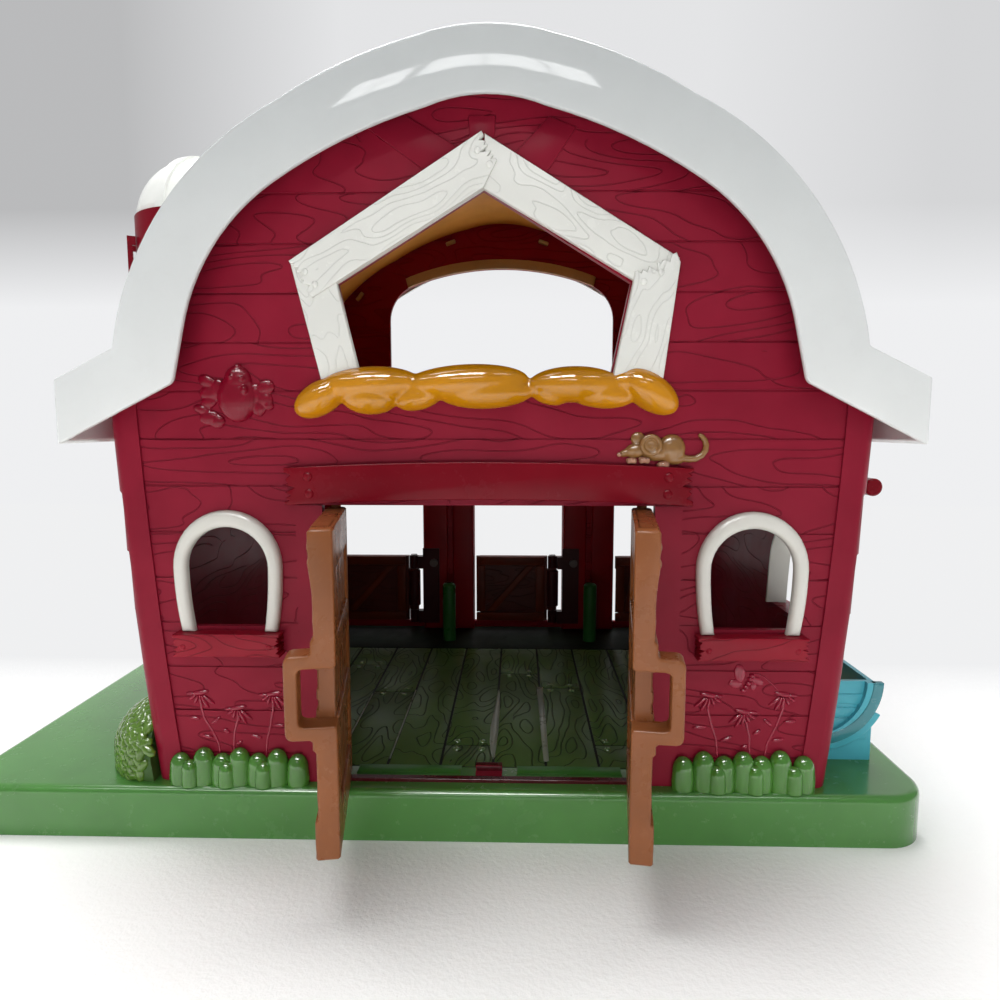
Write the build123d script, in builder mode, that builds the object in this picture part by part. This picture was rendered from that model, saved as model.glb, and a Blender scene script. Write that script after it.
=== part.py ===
from build123d import *

import os
from math import atan2, cos, degrees, hypot, radians, sin, sqrt

# Toy barn with opening doors: a moulded plastic play set, in millimetres, +Z up.
# X = 0 is the barn's centre line, Y = 0 the middle of the base and Z = 0 the face it stands on.
# The front, with the two big doors, faces -Y. The silo stands on the -X side, the trough on the +X side.
# Heights marked "above the deck" start at the top of the base.

# ---------------------------------------------------------------- clearances
fit_gap = 0.15  # between fixed pieces that seat on each other
pin_gap = 0.05  # radial, round a pin that turns
screw_gap = 0.03  # radial, round a screw in its pilot hole
swing_gap = 0.4  # beside a piece that swings

# ---------------------------------------------------------------- base
base_left, base_right = -226.0, 182.0
base_depth = 248.0
base_height = 21.5
base_corner = 18.0
base_edge = 3.0
base_wall = 2.5
plate_thickness = 3.0
floor_board = 20.4  # width of one board of the floor
floor_first_seam = -125.0
floor_seams = 13
floor_seam_width, floor_seam_depth = 1.1, 0.7
floor_front, floor_back = 17.0, 178.0  # ends of the boards behind the front wall's face
kerb_inner, kerb_short = 12.0, 10.0  # raised strips behind the doorway, from its middle and its sides
kerb_front, kerb_depth, kerb_height = 9.7, 7.0, 1.0

# ---------------------------------------------------------------- walls
apron = 8.0  # deck in front of the front wall and behind the back wall
wall = 3.0
foot_half, belly_half, eave_half = 141.0, 148.6, 154.0  # half width of the body, low, middle and high
belly_height, eave_height = 75.0, 165.0  # above the deck
corner_post, corner_depth = 7.0, 10.0
corner_strip = 12.6  # smooth strip at each corner of the body
strip_proud = 1.0
corner_round = 6.0
board_pitch = 18.9  # height of one wall board
first_seam = 12.0
wall_seams = 13
seam_width, seam_depth = 0.9, 0.6
tab_spread = 104.0
tab_width, tab_thickness, tab_reach = 14.0, 1.8, 3.0

# ---------------------------------------------------------------- roof, heights above the deck
roof_wall = 3.0
fascia_wall = 2.6
roof_overhang = 13.0
ridge_half, ridge_shoulder, ridge_height = 25.0, 289.5, 293.4
slope_half, slope_low = 76.0, 268.3
slope_swell, fascia_swell = 2.2, 2.5  # how far the slopes bow out between their ends
haunch_half, haunch_height = 117.0, 236.0
kick_half, kick_height = 142.6, 179.0
tip_half, tip_height = 166.0, 167.3
fascia_ridge_half, fascia_shoulder, fascia_ridge = 22.0, 265.3, 269.6
fascia_slope_half, fascia_slope_low = 80.0, 238.8
fascia_haunch_half, fascia_haunch_height = 101.5, 218.0
fascia_knee_half, fascia_knee_height = 115.5, 185.8
fascia_heel_half, fascia_heel_height = 120.0, 165.8
heel_round = 4.0
fascia_tip_height = 142.3

# ---------------------------------------------------------------- doorway and doors
doorway_half, doorway_height = 67.0, 117.5
jamb_width, jamb_proud = 11.0, 0.8
sill_strip_height = 1.4
stop_half, stop_depth, stop_height = 5.6, 3.0, 3.6
door_foot_gap, door_head_gap = 2.3, 1.4  # under and over the doors
door_thickness = 8.2
door_board_proud = 1.4
door_meeting_gap = 0.6
hinge_inset = 4.6  # hinge axes in from the sides of the doorway
hinge_behind = 3.3  # hinge axes behind the front wall's face
hinge_pin_radius, hinge_pin_length = 2.0, 5.5
hinge_boss, hinge_boss_height = 9.2, 8.0
left_open, right_open = 80.3, 82.0  # degrees from shut, as the doors stand
handle_low, handle_high = 45.2, 74.0  # above the deck
handle_reach, handle_strap, handle_width = 6.7, 4.4, 9.0
top_rail, bottom_rail, middle_rail_margin = 16.0, 11.5, 5.0

# ---------------------------------------------------------------- lintel
lintel_beyond, lintel_gap, lintel_height, lintel_bow = 3.3, 0.3, 15.0, 2.4  # past the jambs, over the doorway
lintel_proud = 3.0
nail_radius, nail_proud = 1.7, 0.6
nail_from_end, nail_spread = 8.4, 6.4  # the pair of nails stands one over the other

# ---------------------------------------------------------------- round-headed windows
window_centre = 106.2
window_low, window_spring = 66.9, 92.0  # above the deck
frame_inner_radius, frame_inner_foot = 16.6, 14.4
frame_width, frame_foot_width = 5.6, 5.2
frame_crown = 1.2
sleeve_wall, sleeve_behind = 1.4, 3.0  # lining of a window's opening, past the inside of the wall
frame_proud = 4.0
side_window_y, side_window_drop = 64.4, 8.5  # behind the front wall's face, and below the front windows
ledge_beyond, ledge_height, ledge_proud = 2.1, 10.0, 7.0
ledge_tooth, ledge_bow = 1.6, 0.3

# ---------------------------------------------------------------- loft
loft_low_half, loft_knee_half, loft_knee, loft_apex = 49.0, 57.1, 204.6, 239.6
loft_centre = -1.4  # the loft window and the hay stand a little to the left
loft_sill, board_rise = 165.0, 10.0  # the opening's foot, and the boards' foot above it
board_low_width, board_knee_width = 18.8, 18.1
board_knee_rise, board_apex_rise = 7.5, 20.2
board_proud = 3.4
hay_half, hay_radius, hay_height, hay_lumps = 75.6, 9.4, 164.4, 7
hay_waist = 7.6
loft_floor_top, loft_floor_thickness = 158.0, 2.5
loft_ledge, loft_ledge_short = 2.4, 14.8

# ---------------------------------------------------------------- back wall and stalls
stall_edges = [(-122.0, -57.0), (-19.5, 44.5), (82.0, 121.0)]  # left and right edge of each stall opening
stall_low, stall_high = 5.0, 112.0
pillar_proud, pillar_top, pillar_round = 5.0, 120.0, 2.0
attic_half, attic_low, attic_shoulder, attic_ridge, attic_round = 79.4, 166.0, 240.5, 259.3, 26.0
gate_foot_gap, gate_high = 1.5, 54.4
gate_thickness, gate_panel, gate_rail = 4.4, 2.6, 7.0
gate_barrel_radius, gate_pin_radius = 3.3, 1.3
gate_pin_inset = 7.0  # gate's hinge axis from the edge of the pillar beside it
gate_free_gap = 4.0
gate_nub, gate_nub_height = 2.6, 9.0
gate_brace = 5.6
bracket_clear = 0.12  # between a gate's barrel and the bracket's arms beside it
bracket_arm, bracket_plate, bracket_top = 9.0, 2.4, 60.5
bracket_pad, bracket_screw_inset = 12.0, 8.0
gate_pin_head, gate_pin_head_height = 2.3, 0.9
post_radius, post_height, post_behind = 4.5, 41.0, 197.0
post_centres = [-35.5, 62.3]
post_top_round = 2.7
post_spigot = 2.5

# ---------------------------------------------------------------- silo
silo_x, silo_y = -168.4, 22.0
silo_radius, silo_wall, silo_height = 38.5, 2.5, 265.0
silo_foot, silo_foot_height = 2.0, 6.0
dome_wall, dome_inset, dome_spigot, dome_rise, dome_foot = 2.4, 1.4, 4.0, 35.0, 3.0
rib_width, rib_proud, rib_turn = 5.6, 1.4, 75.0
ladder_turn = 207.0  # degrees round the silo from +X
ladder_rail, ladder_width, ladder_stand_off = 2.4, 15.0, 1.6
ladder_low, ladder_short, first_rung, rung_pitch = 10.0, 12.0, 9.3, 15.5

# ---------------------------------------------------------------- trough, awning and bushes
trough_gap, trough_width = 2.35, 23.2
trough_front, trough_length, trough_height = 25.0, 52.0, 36.5
trough_wall = 2.0
trough_band_inset, trough_band_radius, trough_band, trough_band_proud = 4.9, 24.2, 4.4, 2.6
feed_height = 25.0
awning_low, awning_root, awning_edge, awning_reach = 118.0, 146.0, 136.0, 15.5
awning_length, awning_thickness, awning_rib = 52.0, 3.0, 3.0
bush_from, bush_to = 73.5, 135.5
bush_egg = 1.5  # height of a bush over its width
bush_back_count, bush_back_radius, bush_back_height, bush_back_depth = 8, 5.4, 15.0, 4.2
bush_front_count, bush_front_radius, bush_front_height, bush_front_depth = 4, 4.0, 9.5, 1.6
leaf_bush_behind, leaf_bush_radius = 22.0, 24.5
leaf_bush_height, leaf_bush_foot = 29.0, 9.0

# ---------------------------------------------------------------- moulded animals
bird_x, bird_height, bird_size = -101.5, 161.0, 13.0
mouse_inset, mouse_height, mouse_size = 15.3, 139.0, 7.0  # in from the lintel's end
figure_proud = 2.6

# ---------------------------------------------------------------- screws
screw_head_radius, screw_head_height = 2.9, 1.4
screw_shank_radius, screw_length = 1.25, 9.0
boss_radius = 4.2

# ---------------------------------------------------------------- derived places
deck = base_height
base_middle = (base_left + base_right) / 2
base_width = base_right - base_left
front_y = -base_depth / 2 + apron
back_y = base_depth / 2 - apron
roof_front = front_y - roof_overhang
roof_back = back_y + roof_overhang
hinge_y = front_y + hinge_behind
hinge_half = doorway_half - hinge_inset
jamb_outer = doorway_half + jamb_width
door_bottom, door_top = door_foot_gap, doorway_height - door_head_gap
lintel_half, lintel_low = jamb_outer + lintel_beyond, doorway_height + lintel_gap
mouse_x = lintel_half - mouse_inset
kerb_outer = doorway_half - kerb_short
frame_outer_radius = frame_inner_radius + frame_width
frame_outer_foot = frame_inner_foot + frame_foot_width
ledge_half = frame_outer_foot + ledge_beyond
board_low_half, board_knee_half = loft_low_half + board_low_width, loft_knee_half + board_knee_width
board_knee, board_apex = loft_knee + board_knee_rise, loft_apex + board_apex_rise
board_low = loft_sill + board_rise
gate_low = stall_low + gate_foot_gap
ladder_high = silo_height - ladder_short
pillar_y = back_y - wall - pillar_proud  # front faces of the pillars
gate_y = pillar_y + gate_thickness / 2
door_width = hinge_half - door_meeting_gap / 2
stop_y = hinge_y + door_thickness / 2 + swing_gap
far = 700.0
post_y = front_y + post_behind
screw_spots = [(x, y) for x in (base_left + 22, -75, 75, base_right - 22) for y in (-100, 100)]

os.makedirs("parts", exist_ok=True)


def save(piece, name):
    """Label a finished piece and write it as parts/name.step."""
    piece.label = name
    export_step(piece, f"parts/{name}.step")
    print(name, round(piece.volume))


def station(y):
    """Upright plane across the barn at a place along Y, facing the front."""
    return Plane.XZ.offset(-y)


def flank(x):
    """Upright plane along the barn at a place along X, facing +X."""
    return Plane.YZ.offset(x)


# ---------------------------------------------------------------- shared outlines, drawn as (x, z)
def circle_through(low, middle, high):
    """Centre and radius of the circle through three points."""
    (x1, y1), (x2, y2), (x3, y3) = low, middle, high
    d = 2 * (x1 * (y2 - y3) + x2 * (y3 - y1) + x3 * (y1 - y2))
    q1, q2, q3 = hypot(x1, y1) ** 2, hypot(x2, y2) ** 2, hypot(x3, y3) ** 2
    cx = (q1 * (y2 - y3) + q2 * (y3 - y1) + q3 * (y1 - y2)) / d
    cy = (q1 * (x3 - x2) + q2 * (x1 - x3) + q3 * (x2 - x1)) / d
    return cx, cy, hypot(x1 - cx, y1 - cy)


flank_x, flank_z, flank_radius = circle_through(
    (foot_half, 0), (belly_half, belly_height), (eave_half, eave_height)
)


def half_width(height):
    """Half width of the body at a height above the deck."""
    return flank_x + sqrt(flank_radius**2 - (height - flank_z) ** 2)


loft_ledge_half = half_width(loft_floor_top) - corner_post - loft_ledge_short
trough_inner = half_width(trough_height) + trough_gap
trough_outer = trough_inner + trough_width
leaf_bush_x = -half_width(leaf_bush_foot)
leaf_bush_y = front_y + leaf_bush_behind


def body_face(inset, low, high):
    """Front view of the body between two heights above the deck, drawn in from its flanks."""
    stops = [(half_width(height) - inset, deck + height) for height in (low, (low + high) / 2, high)]
    with BuildSketch() as face:
        with BuildLine():
            right = ThreePointArc(*stops)
            left = ThreePointArc(*[(-x, z) for x, z in stops])
            Line(right @ 0, left @ 0)
            Line(right @ 1, left @ 1)
        make_face()
    return face.sketch


def gambrel_face(crown, slope, haunch, knee, heel, tip, low, swell):
    """Front view of a bell-shaped roof line: the given points on both sides, closed along a low level."""
    (crown_half, shoulder, ridge) = crown
    with BuildSketch() as face:
        with BuildLine():
            ThreePointArc((-crown_half, deck + shoulder), (0, deck + ridge), (crown_half, deck + shoulder))
            for side in (1, -1):
                places = [(side * x, deck + z) for x, z in (slope, haunch, knee, heel, tip)]
                run, drop = slope[0] - crown_half, shoulder - slope[1]
                length = sqrt(run**2 + drop**2)
                ThreePointArc((side * crown_half, deck + shoulder),
                              (side * (crown_half + run / 2 + swell * drop / length),
                               deck + shoulder - drop / 2 + swell * run / length), places[0])
                ThreePointArc(places[0], places[1], places[2])
                if heel != knee:
                    Line(places[2], places[3])
                Line(places[3], places[4])
                if tip[1] != low:
                    Line(places[4], (side * tip[0], deck + low))
            Line((-tip[0], deck + low), (tip[0], deck + low))
        make_face()
        if heel != knee:
            heels = [v for v in face.vertices() if abs(abs(v.X) - heel[0]) < 1e-3 and abs(v.Y - deck - heel[1]) < 1e-3]
            fillet(heels, heel_round)
    return face.sketch


roof_face = gambrel_face(
    (ridge_half, ridge_shoulder, ridge_height), (slope_half, slope_low), (haunch_half, haunch_height),
    (kick_half, kick_height), (kick_half, kick_height), (tip_half, tip_height), fascia_tip_height, slope_swell,
)
fascia_face = gambrel_face(
    (fascia_ridge_half, fascia_shoulder, fascia_ridge), (fascia_slope_half, fascia_slope_low),
    (fascia_haunch_half, fascia_haunch_height), (fascia_knee_half, fascia_knee_height),
    (fascia_heel_half, fascia_heel_height), (tip_half, fascia_tip_height), fascia_tip_height, fascia_swell,
)


def under_roof_face(clearance):
    """Front view of everything under the roof's inner surface, less a clearance."""
    with BuildSketch() as face:
        add(roof_face)
        offset(amount=-(roof_wall + clearance), kind=Kind.INTERSECTION)
        with Locations((0, deck + fascia_tip_height + 2 * roof_wall - far / 2)):
            Rectangle(2 * (tip_half - roof_wall - clearance), far)
    return face.sketch


def wall_face():
    """Front view of the front or back wall: the body's outline cut off under the roof."""
    with BuildSketch() as face:
        add(body_face(0, 0, ridge_height))
        add(under_roof_face(fit_gap), mode=Mode.INTERSECT)
    return face.sketch


def strip_face(width):
    """Front view of the strips of a given width down both flanks of the front or back wall."""
    with BuildSketch() as face:
        add(wall_face())
        add(body_face(width, 0, ridge_height), mode=Mode.SUBTRACT)
    return face.sketch


def horseshoe_face(centre, radius, foot, crown, low, drop=0.0):
    """Front view of a round-headed opening that narrows towards its foot, and how far it is dropped."""
    spring = deck + window_spring - drop
    low = low - drop
    with BuildSketch() as face:
        with BuildLine():
            ThreePointArc((centre - radius, spring), (centre, spring + radius + crown), (centre + radius, spring))
            for side in (1, -1):
                TangentArc((centre + side * radius, spring), (centre + side * foot, deck + low), tangent=(0, -1))
            Line((centre - foot, deck + low), (centre + foot, deck + low))
        make_face()
    return face.sketch


def sleeve_face(centre, clearance, drop=0.0):
    """Front view of the outside of a window's lining, grown by a clearance; its foot stands on the sill."""
    foot = deck + window_low - drop + fit_gap - clearance
    with BuildSketch() as face:
        add(horseshoe_face(centre, frame_inner_radius, frame_inner_foot, 0, window_low, drop))
        offset(amount=sleeve_wall + clearance, kind=Kind.INTERSECTION)
        with Locations((centre, foot - far / 2)):
            Rectangle(far, far, mode=Mode.SUBTRACT)
    return face.sketch


def pentagon_face(low_half, knee_half, knee, apex, low):
    """Front view of the loft window: five sides with its apex over the loft's centre."""
    with BuildSketch() as face:
        with BuildLine():
            Polyline((loft_centre - low_half, deck + low), (loft_centre - knee_half, deck + knee),
                     (loft_centre, deck + apex), (loft_centre + knee_half, deck + knee),
                     (loft_centre + low_half, deck + low), close=True)
        make_face()
    return face.sketch


def toothed_face(half, low, high, tooth, bow):
    """Front view of a board with broken ends, its long edges bowed up in the middle."""
    ends = [(half, low), (half - tooth, low + (high - low) * 0.3), (half, low + (high - low) * 0.45),
            (half - tooth, low + (high - low) * 0.75), (half, high)]
    with BuildSketch() as face:
        with BuildLine():
            Polyline(*ends)
            Polyline(*[(-x, z) for x, z in ends])
            ThreePointArc((-half, low), (0, low + bow), (half, low))
            ThreePointArc((-half, high), (0, high + bow), (half, high))
        make_face()
    return face.sketch


# ---------------------------------------------------------------- base
def make_base_cover():
    with BuildPart() as cover:
        with BuildSketch():
            with Locations((base_middle, 0)):
                RectangleRounded(base_width, base_depth, base_corner)
        extrude(amount=base_height)
        fillet(cover.faces().sort_by(Axis.Z)[-1].edges(), base_edge)
        with BuildSketch():
            with Locations((base_middle, 0)):
                RectangleRounded(base_width - 2 * base_wall, base_depth - 2 * base_wall, base_corner - base_wall)
        extrude(amount=base_height - base_wall, mode=Mode.SUBTRACT)
        with BuildSketch(Plane.XY.offset(plate_thickness + fit_gap)):
            with Locations(*screw_spots):
                Circle(boss_radius)
            with Locations(*[(side * hinge_half, hinge_y) for side in (1, -1)]):
                Circle(boss_radius)
        extrude(amount=base_height - base_wall - plate_thickness - fit_gap)
        with BuildSketch(Plane.XY.offset(plate_thickness + fit_gap)):
            with Locations(*screw_spots):
                Circle(screw_shank_radius + screw_gap)
        extrude(amount=screw_length, mode=Mode.SUBTRACT)
        with BuildSketch(Plane.XY.offset(deck)):
            with Locations(*[(side * hinge_half, hinge_y) for side in (1, -1)]):
                Circle(hinge_pin_radius + pin_gap)
            for spot in tab_spots():
                with Locations(spot):
                    Rectangle(tab_width + 2 * fit_gap, tab_thickness + 2 * fit_gap)
            with Locations(*[(x, post_y) for x in post_centres]):
                Circle(post_spigot + fit_gap)
        extrude(amount=-(hinge_pin_length + 1), mode=Mode.SUBTRACT)
        with BuildSketch(Plane.XY.offset(deck)):
            for seam in range(floor_seams):
                with Locations((floor_first_seam + seam * floor_board, front_y + (floor_front + floor_back) / 2)):
                    Rectangle(floor_seam_width, floor_back - floor_front)
        extrude(amount=-floor_seam_depth, mode=Mode.SUBTRACT)
        with BuildSketch(Plane.XY.offset(deck)):
            for side in (1, -1):
                with Locations((side * (kerb_inner + kerb_outer) / 2, front_y + kerb_front)):
                    Rectangle(kerb_outer - kerb_inner, kerb_depth)
        extrude(amount=kerb_height)
    save(cover.part, "base_cover")


def tab_spots():
    """Places where the tabs of the front and back walls go down through the deck."""
    return [(side * tab_spread, y) for side in (1, -1) for y in (front_y + wall / 2, back_y - wall / 2)]


def make_base_plate():
    rim = base_wall + fit_gap
    with BuildPart() as plate:
        with BuildSketch():
            with Locations((base_middle, 0)):
                RectangleRounded(base_width - 2 * rim, base_depth - 2 * rim, base_corner - rim)
        extrude(amount=plate_thickness)
        with BuildSketch():
            with Locations(*screw_spots):
                Circle(screw_shank_radius + fit_gap)
        extrude(amount=plate_thickness, mode=Mode.SUBTRACT)
        with BuildSketch():
            with Locations(*screw_spots):
                Circle(screw_head_radius + fit_gap)
        extrude(amount=screw_head_height + fit_gap, mode=Mode.SUBTRACT)
    save(plate.part, "base_plate")


def make_base_screws():
    with BuildPart() as screws:
        with BuildSketch(Plane.XY.offset(fit_gap)):
            with Locations(*screw_spots):
                Circle(screw_head_radius)
        extrude(amount=screw_head_height)
        with BuildSketch(Plane.XY.offset(fit_gap)):
            with Locations(*screw_spots):
                Circle(screw_shank_radius)
        extrude(amount=screw_length)
    save(screws.part, "base_screws")


# ---------------------------------------------------------------- walls
def add_ledge_and_tabs(face_y, inward, tab_y):
    """Ledge that carries the loft floor, and the tabs that go down through the deck."""
    with BuildSketch(station(face_y)) as ledge:
        with Locations((0, deck + loft_floor_top - loft_floor_thickness - loft_ledge / 2)):
            Rectangle(2 * loft_ledge_half, loft_ledge)
    extrude(ledge.sketch, amount=inward * loft_ledge)
    with BuildSketch(Plane.XY.offset(deck)) as tabs:
        with Locations(*[(side * tab_spread, tab_y) for side in (1, -1)]):
            Rectangle(tab_width, tab_thickness)
    extrude(tabs.sketch, amount=-(base_wall + tab_reach))


def make_front_wall():
    with BuildPart() as front:
        with BuildSketch(station(front_y + wall)):
            add(wall_face())
        extrude(amount=wall)
        with BuildSketch(station(front_y)):
            for seam in range(wall_seams):
                with Locations((0, deck + first_seam + seam * board_pitch)):
                    Rectangle(2 * eave_half, seam_width)
        extrude(amount=-seam_depth, mode=Mode.SUBTRACT)
        with BuildSketch(station(front_y + corner_depth)):
            add(strip_face(corner_post))
        extrude(amount=corner_depth + strip_proud)
        with BuildSketch(station(front_y)):
            add(strip_face(corner_strip))
        extrude(amount=strip_proud)
        corners = front.edges().filter_by(
            lambda e: abs(e.center().Y - front_y + strip_proud) < 0.01
            and abs(e.center().X) > foot_half
            and e.length > eave_height / 2
        )
        fillet(corners, corner_round)
        with BuildSketch(station(front_y)):
            with Locations((0, deck + doorway_height / 2)):
                Rectangle(2 * jamb_outer, doorway_height)
        extrude(amount=jamb_proud)
        with BuildSketch(station(front_y + wall)):
            with Locations((0, deck + doorway_height / 2)):
                Rectangle(2 * doorway_half, doorway_height)
            for side in (1, -1):
                add(sleeve_face(side * window_centre, fit_gap))
            add(pentagon_face(loft_low_half, loft_knee_half, loft_knee, loft_apex, loft_sill))
        extrude(amount=wall + strip_proud, mode=Mode.SUBTRACT)
        with BuildSketch(Plane.XY.offset(deck + doorway_height)):
            for side in (1, -1):
                with Locations((side * hinge_half, hinge_y + hinge_boss / 2 - hinge_behind)):
                    Rectangle(hinge_boss, hinge_boss)
        extrude(amount=hinge_boss_height)
        with BuildSketch(Plane.XY.offset(deck)):
            with Locations((0, front_y + wall / 2)):
                Rectangle(2 * doorway_half, wall)
            with Locations((0, (front_y + stop_y + stop_depth) / 2)):
                Rectangle(2 * stop_half, stop_y + stop_depth - front_y)
        extrude(amount=sill_strip_height)
        with BuildSketch(Plane.XY.offset(deck)):
            with Locations((0, stop_y + stop_depth / 2)):
                Rectangle(2 * stop_half, stop_depth)
        extrude(amount=stop_height)
        with BuildSketch(Plane.XY.offset(deck)):
            with Locations(*[(side * hinge_half, hinge_y) for side in (1, -1)]):
                Circle(hinge_pin_radius + pin_gap)
        extrude(amount=doorway_height + hinge_pin_length + 1, mode=Mode.SUBTRACT)
        add_ledge_and_tabs(front_y + wall, -1, front_y + wall / 2)
    save(front.part, "front_wall")


def attic_face():
    """Front view of the arched opening in the back wall's gable."""
    with BuildSketch() as face:
        with BuildLine():
            Polyline((-attic_half, deck + attic_shoulder), (-attic_half, deck + attic_low),
                     (attic_half, deck + attic_low), (attic_half, deck + attic_shoulder))
            ThreePointArc((-attic_half, deck + attic_shoulder), (0, deck + attic_ridge),
                          (attic_half, deck + attic_shoulder))
        make_face()
        fillet(face.vertices().group_by(Axis.Y)[-1], attic_round)
    return face.sketch


def make_back_wall():
    with BuildPart() as back:
        with BuildSketch(station(back_y)):
            add(wall_face())
        extrude(amount=wall)
        with BuildSketch(station(back_y)):
            add(strip_face(corner_post))
        extrude(amount=corner_depth)
        corners = back.edges().filter_by(
            lambda e: abs(e.center().Y - back_y) < 0.01
            and abs(e.center().X) > foot_half
            and e.length > eave_height / 2
        )
        fillet(corners, corner_round)
        pillars = [(a[1], b[0]) for a, b in zip(stall_edges, stall_edges[1:])]
        with BuildSketch(Plane.XY.offset(deck)):
            for left, right in pillars:
                with Locations(((left + right) / 2, back_y - wall - pillar_proud / 2)):
                    Rectangle(right - left, pillar_proud)
            with Locations((stall_edges[-1][1] + bracket_pad / 2, back_y - wall - pillar_proud / 2)):
                Rectangle(bracket_pad, pillar_proud)
        extrude(amount=pillar_top)
        with BuildSketch(station(back_y)):
            for left, right in stall_edges:
                with Locations(((left + right) / 2, deck + (stall_low + stall_high) / 2)):
                    Rectangle(right - left, stall_high - stall_low)
            add(attic_face())
        extrude(amount=wall, mode=Mode.SUBTRACT)
        upright = back.edges().filter_by(Axis.Z).filter_by(
            lambda e: abs(e.center().Y - pillar_y) < 0.01 and e.length > pillar_top - 1
        )
        fillet(upright, pillar_round)
        with BuildSketch(station(pillar_y)):
            for _, edge in stall_edges:
                with Locations((edge + bracket_screw_inset, deck + gate_high - bracket_arm / 2)):
                    Circle(screw_shank_radius + screw_gap)
        extrude(amount=-screw_length, mode=Mode.SUBTRACT)
        add_ledge_and_tabs(back_y - wall, 1, back_y - wall / 2)
    save(back.part, "back_wall")


def make_side_wall(side, name):
    end = corner_depth + fit_gap
    with BuildPart() as panel:
        with BuildSketch(station(back_y - end)):
            add(body_face(0, 0, eave_height))
            add(body_face(wall, 0, eave_height), mode=Mode.SUBTRACT)
            with Locations((-side * far / 2, 0)):
                Rectangle(far, 2 * far, mode=Mode.SUBTRACT)
        extrude(amount=back_y - front_y - 2 * end)
        with BuildSketch(station(back_y)):
            for height in [first_seam + seam * board_pitch for seam in range(wall_seams)]:
                if height < eave_height - board_pitch / 2:
                    with Locations((side * (half_width(height) - seam_depth + wall), deck + height)):
                        Rectangle(2 * wall, seam_width)
        extrude(amount=back_y - front_y, mode=Mode.SUBTRACT)
        if side > 0:
            with BuildSketch(flank(belly_half - 3 * wall)):
                add(sleeve_face(front_y + side_window_y, fit_gap, side_window_drop))
            extrude(amount=6 * wall, mode=Mode.SUBTRACT)
    save(panel.part, name)


# ---------------------------------------------------------------- roof and loft
def make_roof_shell():
    length = roof_back - roof_front
    with BuildPart() as roof:
        with BuildSketch(station(roof_back)):
            add(roof_face)
        extrude(amount=length)
        with BuildSketch(station(roof_back - fascia_wall)):
            add(under_roof_face(0))
        extrude(amount=length - 2 * fascia_wall, mode=Mode.SUBTRACT)
        with BuildSketch(station(roof_back)):
            add(fascia_face)
        extrude(amount=length, mode=Mode.SUBTRACT)
        with BuildSketch(Plane.XY):
            with Locations((silo_x, silo_y)):
                Circle(silo_radius + swing_gap)
            with Locations((far / 2 - eave_half, 0)):
                Rectangle(far, far, mode=Mode.SUBTRACT)
        extrude(amount=far, mode=Mode.SUBTRACT)
    save(roof.part, "roof_shell")


def make_loft_floor():
    half = half_width(loft_floor_top) - corner_post - fit_gap - 1
    with BuildPart() as loft:
        with BuildSketch(Plane.XY.offset(deck + loft_floor_top - loft_floor_thickness)):
            Rectangle(2 * half, back_y - front_y - 2 * (wall + fit_gap))
        extrude(amount=loft_floor_thickness)
    save(loft.part, "loft_floor")


def make_loft_window_frame():
    with BuildPart() as frame:
        with BuildSketch(station(front_y - fit_gap)):
            add(pentagon_face(board_low_half, board_knee_half, board_knee, board_apex, board_low))
            add(pentagon_face(loft_low_half, loft_knee_half, loft_knee, loft_apex, loft_sill), mode=Mode.SUBTRACT)
        extrude(amount=board_proud)
    save(frame.part, "loft_window_frame")


def make_hay_rope():
    pitch = 2 * hay_half / hay_lumps
    left, right = loft_centre - hay_half, loft_centre + hay_half
    with BuildPart() as rope:
        with BuildSketch(Plane.XY.offset(deck + hay_height)):
            with BuildLine():
                for lump in range(hay_lumps):
                    start = left + lump * pitch
                    first = 2.0 if lump == 0 else hay_waist
                    last = 2.0 if lump == hay_lumps - 1 else hay_waist
                    ThreePointArc((start, front_y - first), (start + pitch / 2, front_y - hay_radius),
                                  (start + pitch, front_y - last))
                Line((left, front_y - 2.0), (left, front_y))
                Line((right, front_y - 2.0), (right, front_y))
                Line((left, front_y), (right, front_y))
            make_face()
        revolve(axis=Axis((0, front_y, deck + hay_height), (1, 0, 0)))
        with BuildSketch(station(front_y + far / 2)):
            with Locations((0, deck + hay_height)):
                Rectangle(far, far)
        extrude(amount=far / 2 + fit_gap, mode=Mode.SUBTRACT)
    save(rope.part, "hay_rope")


# ---------------------------------------------------------------- windows, lintel and animals on the front
def make_window_frame(centre, name):
    with BuildPart() as frame:
        with BuildSketch(station(front_y - fit_gap)):
            add(horseshoe_face(centre, frame_outer_radius, frame_outer_foot, frame_crown, window_low))
            add(horseshoe_face(centre, frame_inner_radius, frame_inner_foot, 0, window_low), mode=Mode.SUBTRACT)
        extrude(amount=frame_proud)
        with BuildSketch(station(front_y + wall + sleeve_behind)):
            add(sleeve_face(centre, 0))
        extrude(amount=wall + sleeve_behind + fit_gap)
        with BuildSketch(station(front_y + wall + sleeve_behind)):
            add(horseshoe_face(centre, frame_inner_radius, frame_inner_foot, 0, window_low))
        extrude(amount=wall + sleeve_behind + fit_gap + frame_proud, mode=Mode.SUBTRACT)
    save(frame.part, name)


def make_window_ledge(centre, name):
    top = deck + window_low - fit_gap
    with BuildPart() as ledge:
        with BuildSketch(station(front_y - fit_gap)):
            with Locations((centre, 0)):
                add(toothed_face(ledge_half, top - ledge_height, top - ledge_bow, ledge_tooth, ledge_bow))
        extrude(amount=ledge_proud)
    save(ledge.part, name)


def add_flank_band(proud, from_y, to_y):
    """Thin layer that lies on the right side wall's outer face between two places along Y."""
    with BuildSketch(station(to_y)) as band:
        add(body_face(-fit_gap - proud, 0, eave_height))
        add(body_face(-fit_gap, 0, eave_height), mode=Mode.SUBTRACT)
        with Locations((-far / 2, 0)):
            Rectangle(far, 2 * far, mode=Mode.SUBTRACT)
    extrude(band.sketch, amount=to_y - from_y)


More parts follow.
